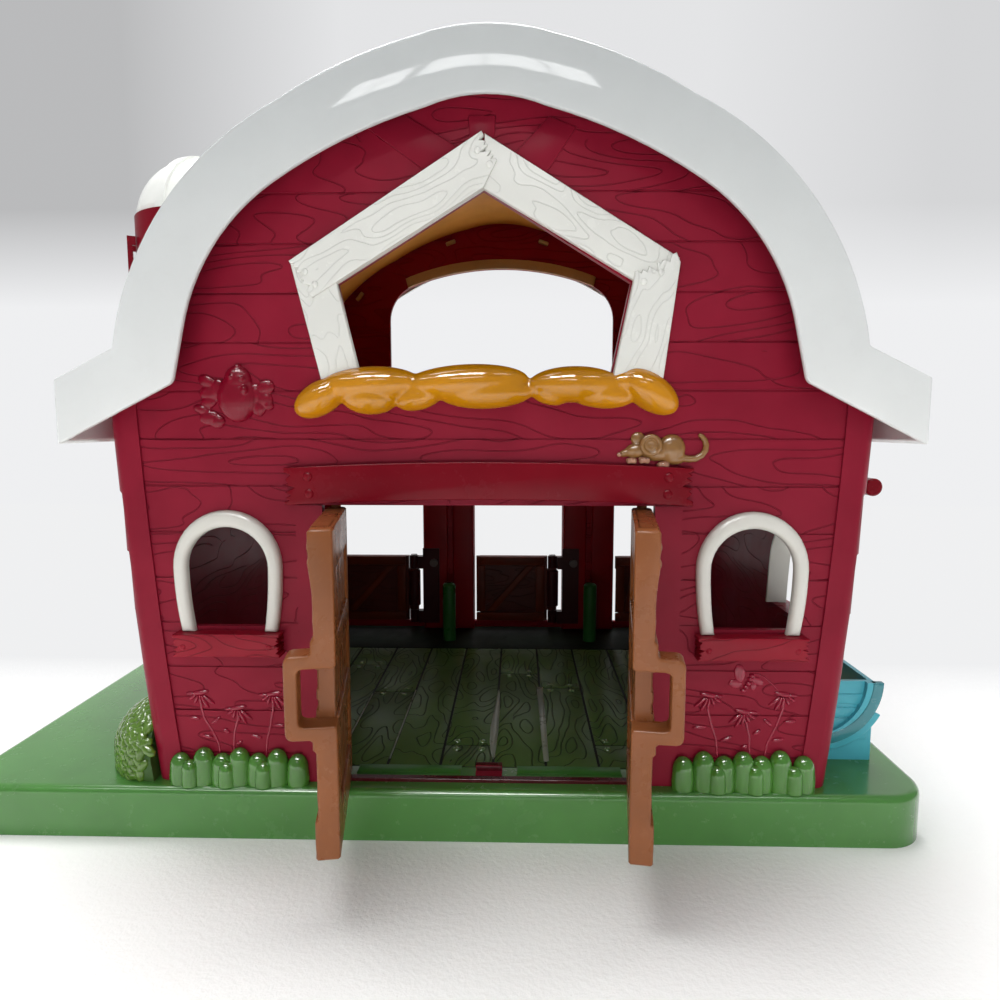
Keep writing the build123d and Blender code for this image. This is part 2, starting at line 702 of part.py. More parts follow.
def make_side_window():
    middle = front_y + side_window_y
    with BuildPart() as lining:
        with BuildSketch(station(middle + 2 * frame_outer_radius)):
            add(body_face(-fit_gap, 0, eave_height))
            add(body_face(wall + sleeve_behind, 0, eave_height), mode=Mode.SUBTRACT)
        extrude(amount=4 * frame_outer_radius)
        with BuildSketch(flank(eave_half + 2 * frame_proud)):
            add(sleeve_face(middle, 0, side_window_drop))
        extrude(amount=-eave_half, mode=Mode.INTERSECT)
    with BuildPart() as frame:
        add_flank_band(frame_proud, middle - 2 * frame_outer_radius, middle + 2 * frame_outer_radius)
        with BuildSketch(flank(eave_half + 2 * frame_proud)):
            add(horseshoe_face(middle, frame_outer_radius, frame_outer_foot, frame_crown, window_low, side_window_drop))
        extrude(amount=-eave_half, mode=Mode.INTERSECT)
        add(lining.part)
        with BuildSketch(flank(foot_half)):
            add(horseshoe_face(middle, frame_inner_radius, frame_inner_foot, 0, window_low, side_window_drop))
        extrude(amount=frame_outer_radius, both=True, mode=Mode.SUBTRACT)
    save(frame.part, "side_window_frame")
    top = deck + window_low - side_window_drop - fit_gap
    with BuildPart() as ledge:
        add_flank_band(ledge_proud, middle - 2 * ledge_half, middle + 2 * ledge_half)
        with BuildSketch(flank(eave_half + 2 * ledge_proud)):
            with Locations((middle, 0)):
                add(toothed_face(ledge_half, top - ledge_height, top - ledge_bow, ledge_tooth, ledge_bow))
        extrude(amount=-eave_half, mode=Mode.INTERSECT)
    save(ledge.part, "side_window_ledge")


def make_side_awning():
    """Sloping hood over the side window, on two knee braces."""
    from_y = front_y + side_window_y - awning_length / 2
    tip = half_width(awning_root) + awning_reach
    inner = foot_half
    with BuildPart() as awning:
        with BuildSketch(station(from_y + awning_length)):
            with BuildLine():
                Polyline((inner, deck + awning_root), (tip - awning_reach, deck + awning_root),
                         (tip, deck + awning_edge), (tip, deck + awning_edge - awning_thickness),
                         (tip - awning_reach, deck + awning_root - awning_thickness),
                         (inner, deck + awning_root - awning_thickness), close=True)
            make_face()
        extrude(amount=awning_length)
        for back in (from_y + awning_rib, from_y + awning_length):
            with BuildSketch(station(back)):
                with BuildLine():
                    Polyline((inner, deck + awning_low), (tip - awning_reach, deck + awning_low),
                             (tip, deck + awning_edge - awning_thickness / 2),
                             (tip - awning_reach, deck + awning_root - awning_thickness / 2),
                             (inner, deck + awning_root - awning_thickness / 2), close=True)
                make_face()
            extrude(amount=awning_rib)
        with BuildSketch(station(from_y + 2 * awning_length)):
            add(body_face(-fit_gap, 0, eave_height))
        extrude(amount=3 * awning_length, mode=Mode.SUBTRACT)
    save(awning.part, "side_awning")


def make_lintel_board():
    low = deck + lintel_low
    with BuildPart() as board:
        with BuildSketch(station(front_y - jamb_proud - fit_gap)):
            add(toothed_face(lintel_half, low, low + lintel_height, ledge_tooth, lintel_bow))
        extrude(amount=lintel_proud)
        nails = [(side * (lintel_half - nail_from_end), low + lintel_height / 2 + step)
                 for side in (1, -1) for step in (-nail_spread / 2, nail_spread / 2)]
        with BuildSketch(station(front_y - jamb_proud - fit_gap - lintel_proud)):
            with Locations(*nails):
                Circle(nail_radius)
        extrude(amount=nail_proud)
    save(board.part, "lintel_board")


def make_bird():
    """Plump bird with raised wings, moulded in relief."""
    r = bird_size
    with BuildPart() as bird:
        with BuildSketch(station(front_y - fit_gap)):
            with Locations((bird_x, deck + bird_height)):
                with Locations((0, -0.05 * r)):
                    Ellipse(0.68 * r, 0.72 * r)
                with Locations((0.1 * r, 0.62 * r)):
                    Circle(0.42 * r)
                with Locations(Location((-0.85 * r, 0.3 * r), 40), Location((0.85 * r, 0.25 * r), -40)):
                    Ellipse(0.32 * r, 0.55 * r)
                with Locations(Location((-0.75 * r, -0.75 * r), -45)):
                    Rectangle(0.4 * r, 0.9 * r)
        extrude(amount=figure_proud)
    save(bird.part, "bird")


def make_mouse():
    """Mouse in profile, nose to the left, with a curled tail."""
    r = mouse_size
    with BuildPart() as mouse:
        with BuildSketch(station(front_y - fit_gap)):
            with Locations((mouse_x, deck + mouse_height)):
                with Locations((0, -0.1 * r)):
                    Ellipse(1.35 * r, 0.62 * r)
                with Locations((-1.1 * r, 0.1 * r)):
                    Ellipse(0.8 * r, 0.5 * r)
                with Locations((-0.75 * r, 0.6 * r)):
                    Circle(0.42 * r)
                with Locations((1.9 * r, 0.2 * r)):
                    Ellipse(0.95 * r, 0.8 * r)
                    Ellipse(0.65 * r, 0.5 * r, mode=Mode.SUBTRACT)
                with Locations((1.35 * r, 0.62 * r)):
                    Rectangle(0.7 * r, 0.9 * r, mode=Mode.SUBTRACT)
        extrude(amount=figure_proud)
    save(mouse.part, "mouse")


# ---------------------------------------------------------------- doors
def make_doors():
    outer = hinge_y - door_thickness / 2
    fields = [(bottom_rail + door_bottom, handle_low - middle_rail_margin),
              (handle_high + middle_rail_margin, door_top - top_rail)]
    with BuildPart() as door:
        with BuildSketch(Plane.XY.offset(deck + door_bottom)):
            with Locations((-hinge_half, hinge_y)):
                Circle(door_thickness / 2)
            with Locations((-hinge_half + door_width / 2, hinge_y)):
                Rectangle(door_width, door_thickness)
        extrude(amount=door_top - door_bottom)
        with BuildSketch(station(outer)):
            for low, high in fields:
                with Locations((-hinge_half + door_width / 2, deck + (low + high) / 2)):
                    Rectangle(door_width, high - low)
        extrude(amount=-door_board_proud, mode=Mode.SUBTRACT)
        with BuildSketch(flank(door_width - hinge_half)):
            with Locations((outer - handle_reach / 2, deck + (handle_low + handle_high) / 2)):
                RectangleRounded(handle_reach + handle_strap, handle_high - handle_low, handle_strap / 2)
        extrude(amount=-handle_width)
        window = handle_reach - handle_strap / 2 + door_thickness
        with BuildSketch(flank(door_width - hinge_half)):
            with Locations((outer - handle_reach + handle_strap / 2 + window / 2,
                            deck + (handle_low + handle_high) / 2)):
                Rectangle(window, handle_high - handle_low - 2 * handle_strap)
        extrude(amount=-handle_width, mode=Mode.SUBTRACT)
        with BuildSketch(Plane.XY.offset(deck + door_bottom - hinge_pin_length)):
            with Locations((-hinge_half, hinge_y)):
                Circle(hinge_pin_radius)
        extrude(amount=door_top - door_bottom + 2 * hinge_pin_length)
    for side, turn, name in ((-1, left_open, "left_door"), (1, right_open, "right_door")):
        shut = door.part if side < 0 else mirror(door.part, about=Plane.YZ)
        axis = Axis((side * hinge_half, hinge_y, 0), (0, 0, 1))
        save(shut.rotate(axis, side * turn), name)


# ---------------------------------------------------------------- stalls
def make_gate(left, right, name):
    """Half-height stall gate, hung at its right side, with rails and a slanting brace in relief."""
    pin_x = right - gate_pin_inset
    start = left + gate_free_gap
    end = pin_x - gate_barrel_radius - swing_gap
    width = end - start
    height = gate_high - gate_low
    barrel_low = stall_low + bracket_arm + swing_gap
    barrel_high = gate_high - bracket_arm - swing_gap
    with BuildPart() as gate:
        with BuildSketch(Plane.XY.offset(deck + gate_low)):
            with Locations(((start + end) / 2, gate_y)):
                Rectangle(width, gate_panel)
        extrude(amount=height)
        with BuildSketch(station(gate_y + gate_thickness / 2)):
            with Locations(((start + end) / 2, deck + (gate_low + gate_high) / 2)):
                Rectangle(width, height)
                Rectangle(width - gate_rail, height - 2 * gate_rail, mode=Mode.SUBTRACT)
                slant = hypot(width - gate_rail, height - 2 * gate_rail)
                lean = degrees(atan2(height - 2 * gate_rail, width - gate_rail))
                with Locations(Location((0, 0), lean)):
                    Rectangle(slant, gate_brace)
        extrude(amount=gate_thickness)
        with BuildSketch(station(gate_y + gate_panel / 2)):
            with Locations((start - gate_nub / 2, deck + gate_high - gate_nub_height / 2)):
                Rectangle(gate_nub, gate_nub_height)
        extrude(amount=gate_panel)
        with BuildSketch(Plane.XY.offset(deck + barrel_low)):
            with Locations((pin_x, gate_y)):
                Circle(gate_barrel_radius)
            with Locations(((end + pin_x) / 2, gate_y)):
                Rectangle(pin_x - end, gate_panel)
        extrude(amount=barrel_high - barrel_low)
        with BuildSketch(Plane.XY.offset(deck + barrel_low)):
            with Locations((pin_x, gate_y)):
                Circle(gate_pin_radius + pin_gap)
        extrude(amount=barrel_high - barrel_low, mode=Mode.SUBTRACT)
    save(gate.part, name)


def make_gate_bracket(edge, name):
    """Bracket screwed to a pillar, with two arms that hold the gate's pin."""
    pin_x = edge - gate_pin_inset
    arm_start = pin_x + gate_barrel_radius + bracket_clear
    plate_y = pillar_y - fit_gap
    front = plate_y - bracket_plate
    with BuildPart() as bracket:
        for low in (stall_low, gate_high - bracket_arm):
            with BuildSketch(Plane.XY.offset(deck + low)):
                with Locations((pin_x, gate_y)):
                    Circle(gate_barrel_radius)
                with Locations(((pin_x + edge - fit_gap) / 2, gate_y)):
                    Rectangle(edge - fit_gap - pin_x, gate_panel)
                with Locations(((arm_start + edge - fit_gap) / 2, (front + gate_y) / 2)):
                    Rectangle(edge - fit_gap - arm_start, gate_y - front)
                with Locations(((arm_start + edge + bracket_pad) / 2, (front + plate_y) / 2)):
                    Rectangle(edge + bracket_pad - arm_start, bracket_plate)
                with Locations((pin_x, gate_y)):
                    Circle(gate_pin_radius + screw_gap, mode=Mode.SUBTRACT)
            extrude(amount=bracket_arm)
        with BuildSketch(station(plate_y)):
            with Locations((edge + bracket_pad / 2, deck + (stall_low + bracket_top) / 2)):
                Rectangle(bracket_pad, bracket_top - stall_low)
        extrude(amount=bracket_plate)
        with BuildSketch(station(plate_y)):
            with Locations((edge + bracket_screw_inset, deck + gate_high - bracket_arm / 2)):
                Circle(screw_shank_radius + screw_gap)
        extrude(amount=bracket_plate, mode=Mode.SUBTRACT)
    save(bracket.part, name)


def make_stall_fittings():
    edges = [right for _, right in stall_edges]
    with BuildPart() as pins:
        with BuildSketch(Plane.XY.offset(deck + stall_low)):
            with Locations(*[(edge - gate_pin_inset, gate_y) for edge in edges]):
                Circle(gate_pin_radius)
        extrude(amount=gate_high - stall_low)
        with BuildSketch(Plane.XY.offset(deck + gate_high)):
            with Locations(*[(edge - gate_pin_inset, gate_y) for edge in edges]):
                Circle(gate_pin_head)
        extrude(amount=gate_pin_head_height)
    save(pins.part, "gate_pins")
    head_y = pillar_y - fit_gap - bracket_plate
    spots = [(edge + bracket_screw_inset, deck + gate_high - bracket_arm / 2) for edge in edges]
    with BuildPart() as screws:
        with BuildSketch(station(head_y)):
            with Locations(*spots):
                Circle(screw_head_radius)
        extrude(amount=screw_head_height)
        with BuildSketch(station(head_y)):
            with Locations(*spots):
                Circle(screw_shank_radius)
        extrude(amount=-screw_length)
    save(screws.part, "bracket_screws")
    with BuildPart() as posts:
        with BuildSketch(Plane.XY.offset(deck)):
            with Locations(*[(x, post_y) for x in post_centres]):
                Circle(post_radius)
        extrude(amount=post_height)
        fillet(posts.edges().group_by(Axis.Z)[-1], post_top_round)
        with BuildSketch(Plane.XY.offset(deck)):
            with Locations(*[(x, post_y) for x in post_centres]):
                Circle(post_spigot)
        extrude(amount=-(base_wall + 1))
    save(posts.part, "stall_posts")


# ---------------------------------------------------------------- silo
def barn_face(clearance):
    """Front view of the body and roof without its eaves, grown by a clearance."""
    with BuildSketch() as face:
        add(roof_face)
        offset(amount=clearance, kind=Kind.INTERSECTION)
        with Locations((0, deck + ridge_height / 2)):
            Rectangle(2 * (eave_half + clearance), 2 * ridge_height, mode=Mode.INTERSECT)
        add(body_face(-clearance, 0, eave_height))
    return face.sketch


def make_silo_body():
    with BuildPart() as silo:
        with BuildSketch(Plane.XY.offset(deck)):
            with Locations((silo_x, silo_y)):
                Circle(silo_radius)
        extrude(amount=silo_height)
        with BuildSketch(Plane.XY.offset(deck)):
            with Locations((silo_x, silo_y)):
                Circle(silo_radius + silo_foot)
        extrude(amount=silo_foot_height)
        with BuildSketch(Plane.XY.offset(deck)):
            with Locations((silo_x, silo_y)):
                Circle(silo_radius - silo_wall)
        extrude(amount=silo_height, mode=Mode.SUBTRACT)
        with BuildSketch(station(back_y)):
            add(barn_face(swing_gap))
        extrude(amount=back_y - front_y, mode=Mode.SUBTRACT)
    save(silo.part, "silo_body")


def dome_section(half, rise, straight):
    """Half section of a round-topped dome with an upright foot, as (distance from the axis, height)."""
    drop = rise - straight
    radius = (half**2 + drop**2) / (2 * drop)
    with BuildSketch() as face:
        with BuildLine():
            Line((half, 0), (half, straight))
            RadiusArc((half, straight), (0, rise), -radius)
            Line((0, rise), (0, 0))
            Line((0, 0), (half, 0))
        make_face()
    return face.sketch


def make_silo_dome():
    rim = deck + silo_height + fit_gap
    half = silo_radius - dome_inset
    spin = Axis((silo_x, silo_y, rim), (0, 0, 1))
    seat = Plane(origin=(silo_x, silo_y, rim), x_dir=(1, 0, 0), z_dir=(0, -1, 0))
    with BuildPart() as dome:
        with BuildSketch(seat):
            add(dome_section(half + rib_proud, dome_rise + rib_proud, dome_foot))
        revolve(axis=spin)
        with BuildSketch(Plane.XY.offset(rim)):
            for turn in (rib_turn, rib_turn + 90):
                with Locations(Location((silo_x, silo_y), turn)):
                    Rectangle(far, rib_width)
        extrude(amount=far, mode=Mode.INTERSECT)
        with BuildSketch(seat):
            add(dome_section(half, dome_rise, dome_foot))
        revolve(axis=spin)
        with BuildSketch(Plane.XY.offset(rim - dome_spigot)):
            with Locations((silo_x, silo_y)):
                Circle(silo_radius - silo_wall - fit_gap)
        extrude(amount=dome_spigot + dome_wall)
        with BuildSketch(seat):
            add(dome_section(half - dome_wall, dome_rise - dome_wall, dome_foot))
        revolve(axis=spin, mode=Mode.SUBTRACT)
        with BuildSketch(Plane.XY.offset(rim - dome_spigot)):
            with Locations((silo_x, silo_y)):
                Circle(half - dome_wall)
        extrude(amount=dome_spigot, mode=Mode.SUBTRACT)
    save(dome.part, "silo_dome")


def make_silo_ladder():
    turn = radians(ladder_turn)
    out = (cos(turn), sin(turn), 0)
    wall_plane = Plane(
        origin=(silo_x + silo_radius * out[0], silo_y + silo_radius * out[1], deck),
        x_dir=(-out[1], out[0], 0), z_dir=out,
    )
    rail_x = ladder_width / 2
    sag = silo_radius - sqrt(silo_radius**2 - (rail_x - ladder_rail / 2) ** 2)
    length = ladder_high - ladder_low
    with BuildPart() as ladder:
        with BuildSketch(wall_plane.offset(ladder_stand_off)):
            with Locations((-rail_x, ladder_low + length / 2), (rail_x, ladder_low + length / 2)):
                Rectangle(ladder_rail, length)
            for rung in range(int(length // rung_pitch)):
                with Locations((0, ladder_low + first_rung + rung * rung_pitch)):
                    Rectangle(ladder_width, ladder_rail)
        extrude(amount=ladder_rail)
        with BuildSketch(wall_plane.offset(fit_gap - sag)):
            for height in (ladder_low, ladder_low + length / 2, ladder_high - 2 * ladder_rail):
                with Locations((-rail_x, height + ladder_rail), (rail_x, height + ladder_rail)):
                    Rectangle(ladder_rail, 2 * ladder_rail)
        extrude(amount=ladder_stand_off + sag)
    save(ladder.part, "silo_ladder")


# ---------------------------------------------------------------- trough and bushes
def make_trough():
    front = front_y + trough_front
    middle_x = (trough_inner + trough_outer) / 2
    middle_y = front + trough_length / 2
    width = trough_outer - trough_inner
    with BuildPart() as trough:
        with BuildSketch(Plane.XY.offset(deck)):
            with Locations((middle_x, middle_y)):
                Rectangle(width, trough_length)
        extrude(amount=trough_height)
        with BuildSketch(Plane.XY.offset(deck + trough_wall)):
            with Locations((middle_x, middle_y)):
                Rectangle(width - 2 * trough_wall, trough_length - 2 * trough_wall)
        extrude(amount=trough_height, mode=Mode.SUBTRACT)
        for face_y, outward in ((front, 1), (front + trough_length, -1)):
            with BuildSketch(station(face_y)):
                with Locations((middle_x, deck + trough_height / 2)):
                    Rectangle(width, trough_height)
                with Locations((trough_inner - trough_band_inset, deck + trough_height)):
                    Circle(trough_band_radius + trough_band, mode=Mode.INTERSECT)
                    Circle(trough_band_radius, mode=Mode.SUBTRACT)
            extrude(amount=outward * trough_band_proud)
    save(trough.part, "trough")
    inset = 2 * (trough_wall + fit_gap)
    with BuildPart() as feed:
        with BuildSketch(Plane.XY.offset(deck + trough_wall)):
            with Locations((middle_x, middle_y)):
                Rectangle(width - inset, trough_length - inset)
        extrude(amount=feed_height - trough_wall)
    save(feed.part, "feed")


def add_bush_row(side, count, radius, height, from_y, depth):
    """Row of egg-shaped bushes, as one slab of their outlines."""
    pitch = (bush_to - bush_from) / count
    with BuildSketch(station(from_y)) as row:
        for bush in range(count):
            with Locations((side * (bush_from + (bush + 0.5) * pitch), deck + height - bush_egg * radius)):
                Ellipse(radius, bush_egg * radius)
        with Locations((side * (bush_from + bush_to) / 2, deck + height / 4)):
            Rectangle(bush_to - bush_from, height / 2)
        with Locations((0, deck - far / 2)):
            Rectangle(2 * far, far, mode=Mode.SUBTRACT)
    extrude(row.sketch, amount=depth)


def make_bushes():
    back_row = front_y - strip_proud - fit_gap
    front_row = back_row - bush_back_depth
    for side, name in ((-1, "left_bushes"), (1, "right_bushes")):
        with BuildPart() as bushes:
            add_bush_row(side, bush_back_count, bush_back_radius, bush_back_height, back_row, bush_back_depth)
            add_bush_row(side, bush_front_count, bush_front_radius, bush_front_height, front_row, bush_front_depth)
        save(bushes.part, name)
    with BuildPart() as leafy:
        with BuildSketch(Plane(origin=(leaf_bush_x, leaf_bush_y, deck), x_dir=(1, 0, 0), z_dir=(0, -1, 0))):
            add(dome_section(leaf_bush_radius, leaf_bush_height, leaf_bush_foot))
        revolve(axis=Axis((leaf_bush_x, leaf_bush_y, deck), (0, 0, 1)))
        with BuildSketch(station(leaf_bush_y + far / 2)):
            add(body_face(-fit_gap, 0, eave_height))
        extrude(amount=far, mode=Mode.SUBTRACT)
    save(leafy.part, "leafy_bush")


# ---------------------------------------------------------------- the whole barn
make_base_cover()
make_base_plate()
make_base_screws()
make_front_wall()
make_back_wall()
make_side_wall(-1, "left_side_wall")
make_side_wall(1, "right_side_wall")
make_roof_shell()
make_loft_floor()
make_loft_window_frame()
make_hay_rope()
make_window_frame(-window_centre, "left_window_frame")
make_window_frame(window_centre, "right_window_frame")
make_window_ledge(-window_centre, "left_window_ledge")
make_window_ledge(window_centre, "right_window_ledge")
make_side_window()
make_side_awning()
make_lintel_board()
make_bird()
make_mouse()
make_doors()
for (left, right), place in zip(stall_edges, ("left", "middle", "right")):
    make_gate(left, right, f"{place}_gate")
    make_gate_bracket(right, f"{place}_gate_bracket")
make_stall_fittings()
make_silo_body()
make_silo_dome()
make_silo_ladder()
make_trough()
make_bushes()
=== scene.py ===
from math import atan2, cos, hypot, pi, radians, sin, sqrt

import bmesh
import bpy
from mathutils import Matrix, Vector


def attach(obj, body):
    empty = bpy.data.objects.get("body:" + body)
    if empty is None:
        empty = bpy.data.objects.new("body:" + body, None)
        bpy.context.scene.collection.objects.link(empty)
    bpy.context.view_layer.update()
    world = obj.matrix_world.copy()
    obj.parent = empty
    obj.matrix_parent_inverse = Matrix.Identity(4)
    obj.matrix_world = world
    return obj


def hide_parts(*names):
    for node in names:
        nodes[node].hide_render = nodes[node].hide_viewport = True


# Toy barn with opening doors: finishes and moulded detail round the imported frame.
# Shapes are in millimetres; the camera, lamps and patterns are in metres. Z is up from the resting face and
# the front looks along -Y.

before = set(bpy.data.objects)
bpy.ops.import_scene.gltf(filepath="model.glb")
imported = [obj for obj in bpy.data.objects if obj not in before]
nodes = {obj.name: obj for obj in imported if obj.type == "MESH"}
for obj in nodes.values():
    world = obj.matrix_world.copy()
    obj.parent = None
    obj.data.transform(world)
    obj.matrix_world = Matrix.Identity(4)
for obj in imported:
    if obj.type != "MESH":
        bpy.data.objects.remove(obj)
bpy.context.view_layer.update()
mm = 0.001
deck = 21.5  # top of the base
front = -116.0  # face of the front wall
seat = front - 0.15  # back of a piece that sits on the front wall
scene = bpy.context.scene


# ---------------------------------------------------------------- camera and studio
def make_camera():
    camera = bpy.data.objects.new("camera", bpy.data.cameras.new("camera"))
    scene.collection.objects.link(camera)
    camera.data.lens = 25.2
    camera.data.sensor_width = 36.0
    camera.data.clip_start = 0.02
    camera.location = (0.01218, -0.396, 0.17125)
    focal, left, down = 700, 18.0, 75.0  # in pixels: focal length, and how far the aim is off straight ahead
    aim = Vector((-left / focal, 1.0, -down / focal)).normalized()
    camera.rotation_mode = "QUATERNION"
    camera.rotation_quaternion = aim.to_track_quat("-Z", "Y")
    scene.camera = camera


def make_lamp(name, place, target, size, power, gleam=True, wash=True):
    """Soft box aimed at a target; it may be left out of reflections or give nothing else."""
    lamp = bpy.data.objects.new(name, bpy.data.lights.new(name, "AREA"))
    scene.collection.objects.link(lamp)
    lamp.data.shape = "RECTANGLE"
    lamp.data.size, lamp.data.size_y = size
    lamp.data.energy = power
    lamp.visible_glossy = gleam
    lamp.visible_diffuse = wash
    lamp.location = place
    lamp.rotation_mode = "QUATERNION"
    lamp.rotation_quaternion = (Vector(target) - Vector(place)).to_track_quat("-Z", "Y")


# ---------------------------------------------------------------- node helpers
def paint(r, g, b):
    """Screen colour, 0 to 255, as the shader's own value."""
    return tuple((v / 255 / 12.92 if v < 11 else ((v / 255 + 0.055) / 1.055) ** 2.4)
                 for v in (r, g, b)) + (1.0,)


def put(tree, kind, settings=None, **inputs):
    """Add a node, with its settings and its inputs given by name; a socket is linked and a value is set."""
    made = tree.nodes.new(kind)
    for key, value in (settings or {}).items():
        setattr(made, key, value)
    for key, value in inputs.items():
        socket = made.inputs[int(key[1:])] if key[1:].isdigit() else made.inputs[key.replace("_", " ")]
        if isinstance(value, bpy.types.NodeSocket):
            tree.links.new(value, socket)
        else:
            socket.default_value = value
    return made


def maths(tree, operation, first, second=0.0, third=0.0):
    """One Math node."""
    made = put(tree, "ShaderNodeMath", {"operation": operation}, i0=first, i1=second, i2=third)
    return made.outputs[0]


def ramp(tree, value, low, high, to_low=0.0, to_high=1.0):
    """Value mapped from one range to another, held at its ends."""
    return put(tree, "ShaderNodeMapRange", {"clamp": True}, Value=value, From_Min=low, From_Max=high,
               To_Min=to_low, To_Max=to_high).outputs[0]


def mottle(tree, where, scale, detail=2.0, rough=0.5):
    return put(tree, "ShaderNodeTexNoise", Vector=where, Scale=scale, Detail=detail,
               Roughness=rough).outputs["Fac"]


def engraved_lines(tree, along, across, seed, rings, length, height, width):
    """Wood figure as thin engraved contour lines of even width: 1 in a line and 0 beside it."""
    def field(step_along, step_across):
        u = maths(tree, "MULTIPLY_ADD", along, 1 / length, step_along / length)
        v = maths(tree, "MULTIPLY_ADD", across, 1 / height, step_across / height)
        where = put(tree, "ShaderNodeCombineXYZ", X=u, Y=v, Z=seed).outputs[0]
        return maths(tree, "MULTIPLY", mottle(tree, where, 1.0, 0.6, 0.4), rings)
    step = width * 0.6
    here, right, up = field(0, 0), field(step, 0), field(0, step)
    steep = put(tree, "ShaderNodeCombineXYZ", X=maths(tree, "SUBTRACT", right, here),
                Y=maths(tree, "SUBTRACT", up, here)).outputs[0]
    steep = put(tree, "ShaderNodeVectorMath", {"operation": "LENGTH"}, i0=steep).outputs["Value"]
    off = maths(tree, "PINGPONG", here, 0.5)
    off = maths(tree, "DIVIDE", maths(tree, "MULTIPLY", off, step), maths(tree, "MAXIMUM", steep, 0.004))
    return ramp(tree, off, width * 0.25, width * 0.5, 1.0, 0.0)


def mixed(tree, factor, first, second):
    """Two colours mixed."""
    return put(tree, "ShaderNodeMix", {"data_type": "RGBA"}, Factor=factor, i6=first, i7=second).outputs[2]


def blank_finish(name):
    """Material whose tree is still empty."""
    made = bpy.data.materials.new(name)
    made.use_nodes = True
    made.node_tree.nodes.clear()
    return made, made.node_tree


def rows_of(tree, across, first, pitch):
    """Number of the board that a place lies in."""
    return maths(tree, "FLOOR", maths(tree, "MULTIPLY_ADD", across, 1 / pitch, -first / pitch))


def moulded(name, tint, gloss=0.3, shade=0.06, pebble=0.006, coat=0.0, lines=None, dust=0.0,
            dust_tint=(235, 225, 215), shine=0.3, painted_top_shade=0.0):
    """Moulded plastic: colour drift, uneven gloss, fine skin texture, scuffs and any engraved lines, darkened
    in their grooves as painted shade.

    Pebble is the depth of the skin texture in millimetres, and the top-shade amount greys the colour towards
    the roof's top as painted shade.
    """
    made, tree = blank_finish(name)
    where = put(tree, "ShaderNodeTexCoord").outputs["Object"]
    base = paint(*tint)
    drift = mottle(tree, where, 38, 3)
    deep = tuple(v * (1 - shade * 1.6) for v in base[:3]) + (1,)
    pale = tuple(min(1, v * (1 + shade * 1.6) + 0.002) for v in base[:3]) + (1,)
    colour = mixed(tree, ramp(tree, drift, 0.3, 0.7), deep, pale)
    rub = ramp(tree, mottle(tree, where, 260, 5, 0.7), 0.56, 0.74)
    smear = ramp(tree, mottle(tree, where, 55, 4, 0.6), 0.35, 0.7)
    swing = min(0.1, gloss * 0.3)
    rough = maths(tree, "MULTIPLY_ADD", smear, swing, gloss - swing * 0.4)
    rough = maths(tree, "MULTIPLY_ADD", rub, swing, rough)
    if dust:
        colour = mixed(tree, maths(tree, "MULTIPLY", rub, dust), colour, paint(*dust_tint))
    # painted shade: the colour greys with height towards the roof's top
    if painted_top_shade:
        high = ramp(tree, put(tree, "ShaderNodeSeparateXYZ", Vector=where).outputs["Z"], 0.19, 0.3)
        colour = mixed(tree, maths(tree, "MULTIPLY", high, painted_top_shade), colour, paint(150, 156, 158))
    grain = mottle(tree, where, 1500, 2)
    normal = put(tree, "ShaderNodeBump", Strength=1.0, Distance=pebble * mm, Height=grain).outputs[0]
    if lines:
        groove, depth, dark = lines(tree, where)
        # painted shade: the engraved lines are darkened towards a quarter of the base colour by the lines'
        # dark amount
        groove_shade_colour = tuple(v * 0.25 for v in base[:3]) + (1,)
        colour = mixed(tree, maths(tree, "MULTIPLY", groove, dark), colour, groove_shade_colour)
        normal = put(tree, "ShaderNodeBump", {"invert": True}, Strength=1.0, Distance=depth * mm,
                     Height=groove,
                     Normal=normal).outputs[0]
        rough = maths(tree, "MULTIPLY_ADD", groove, 0.12, rough)
    plastic = put(tree, "ShaderNodeBsdfPrincipled", Base_Color=colour, Roughness=rough, Normal=normal,
                  IOR=1.5, Specular_IOR_Level=shine, Coat_Weight=coat, Coat_Roughness=0.08)
    put(tree, "ShaderNodeOutputMaterial", Surface=plastic.outputs[0])
    return made


def off_smooth_strips(tree, x, z, groove):
    """Lines left out on the front wall's corner strips, on the jambs and on what doesn't face forwards."""
    facing = put(tree, "ShaderNodeTexCoord").outputs["Normal"]
    facing = put(tree, "ShaderNodeSeparateXYZ", Vector=facing).outputs["Y"]
    side = maths(tree, "ABSOLUTE", x)
    rise = maths(tree, "SUBTRACT", z, (deck + flank_z) * mm)
    square = maths(tree, "MULTIPLY", rise, rise)
    flank = maths(tree, "SQRT", maths(tree, "SUBTRACT", (flank_r * mm) ** 2, square))
    inside = maths(tree, "LESS_THAN", side, maths(tree, "ADD", flank, strip_line))
    jamb = maths(tree, "MULTIPLY", maths(tree, "LESS_THAN", side, jamb_outer * mm),
                  maths(tree, "LESS_THAN", z, (deck + jamb_top) * mm))
    for kept in (maths(tree, "LESS_THAN", facing, -0.9), inside, maths(tree, "SUBTRACT", 1.0, jamb)):
        groove = maths(tree, "MULTIPLY", groove, kept)
    return groove


def wall_lines(run, on_front):
    """Engraved figure of the wall boards, which run along X or along Y."""
    def lines(tree, where):
        x, y, z = put(tree, "ShaderNodeSeparateXYZ", Vector=where).outputs
        row = rows_of(tree, z, (deck + 12.0) * mm, 18.9 * mm)
        seed = maths(tree, "MULTIPLY_ADD", row, 5.37, 1.9 if run == "X" else 40.3)
        groove = engraved_lines(tree, x if run == "X" else y, z, seed, 9.0, 0.062, 0.0165, 0.00062)
        if on_front:
            groove = off_smooth_strips(tree, x, z, groove)
        # depth of the lines in millimetres, and how far painted shade darkens them
        return groove, 0.55, 0.2
    return lines


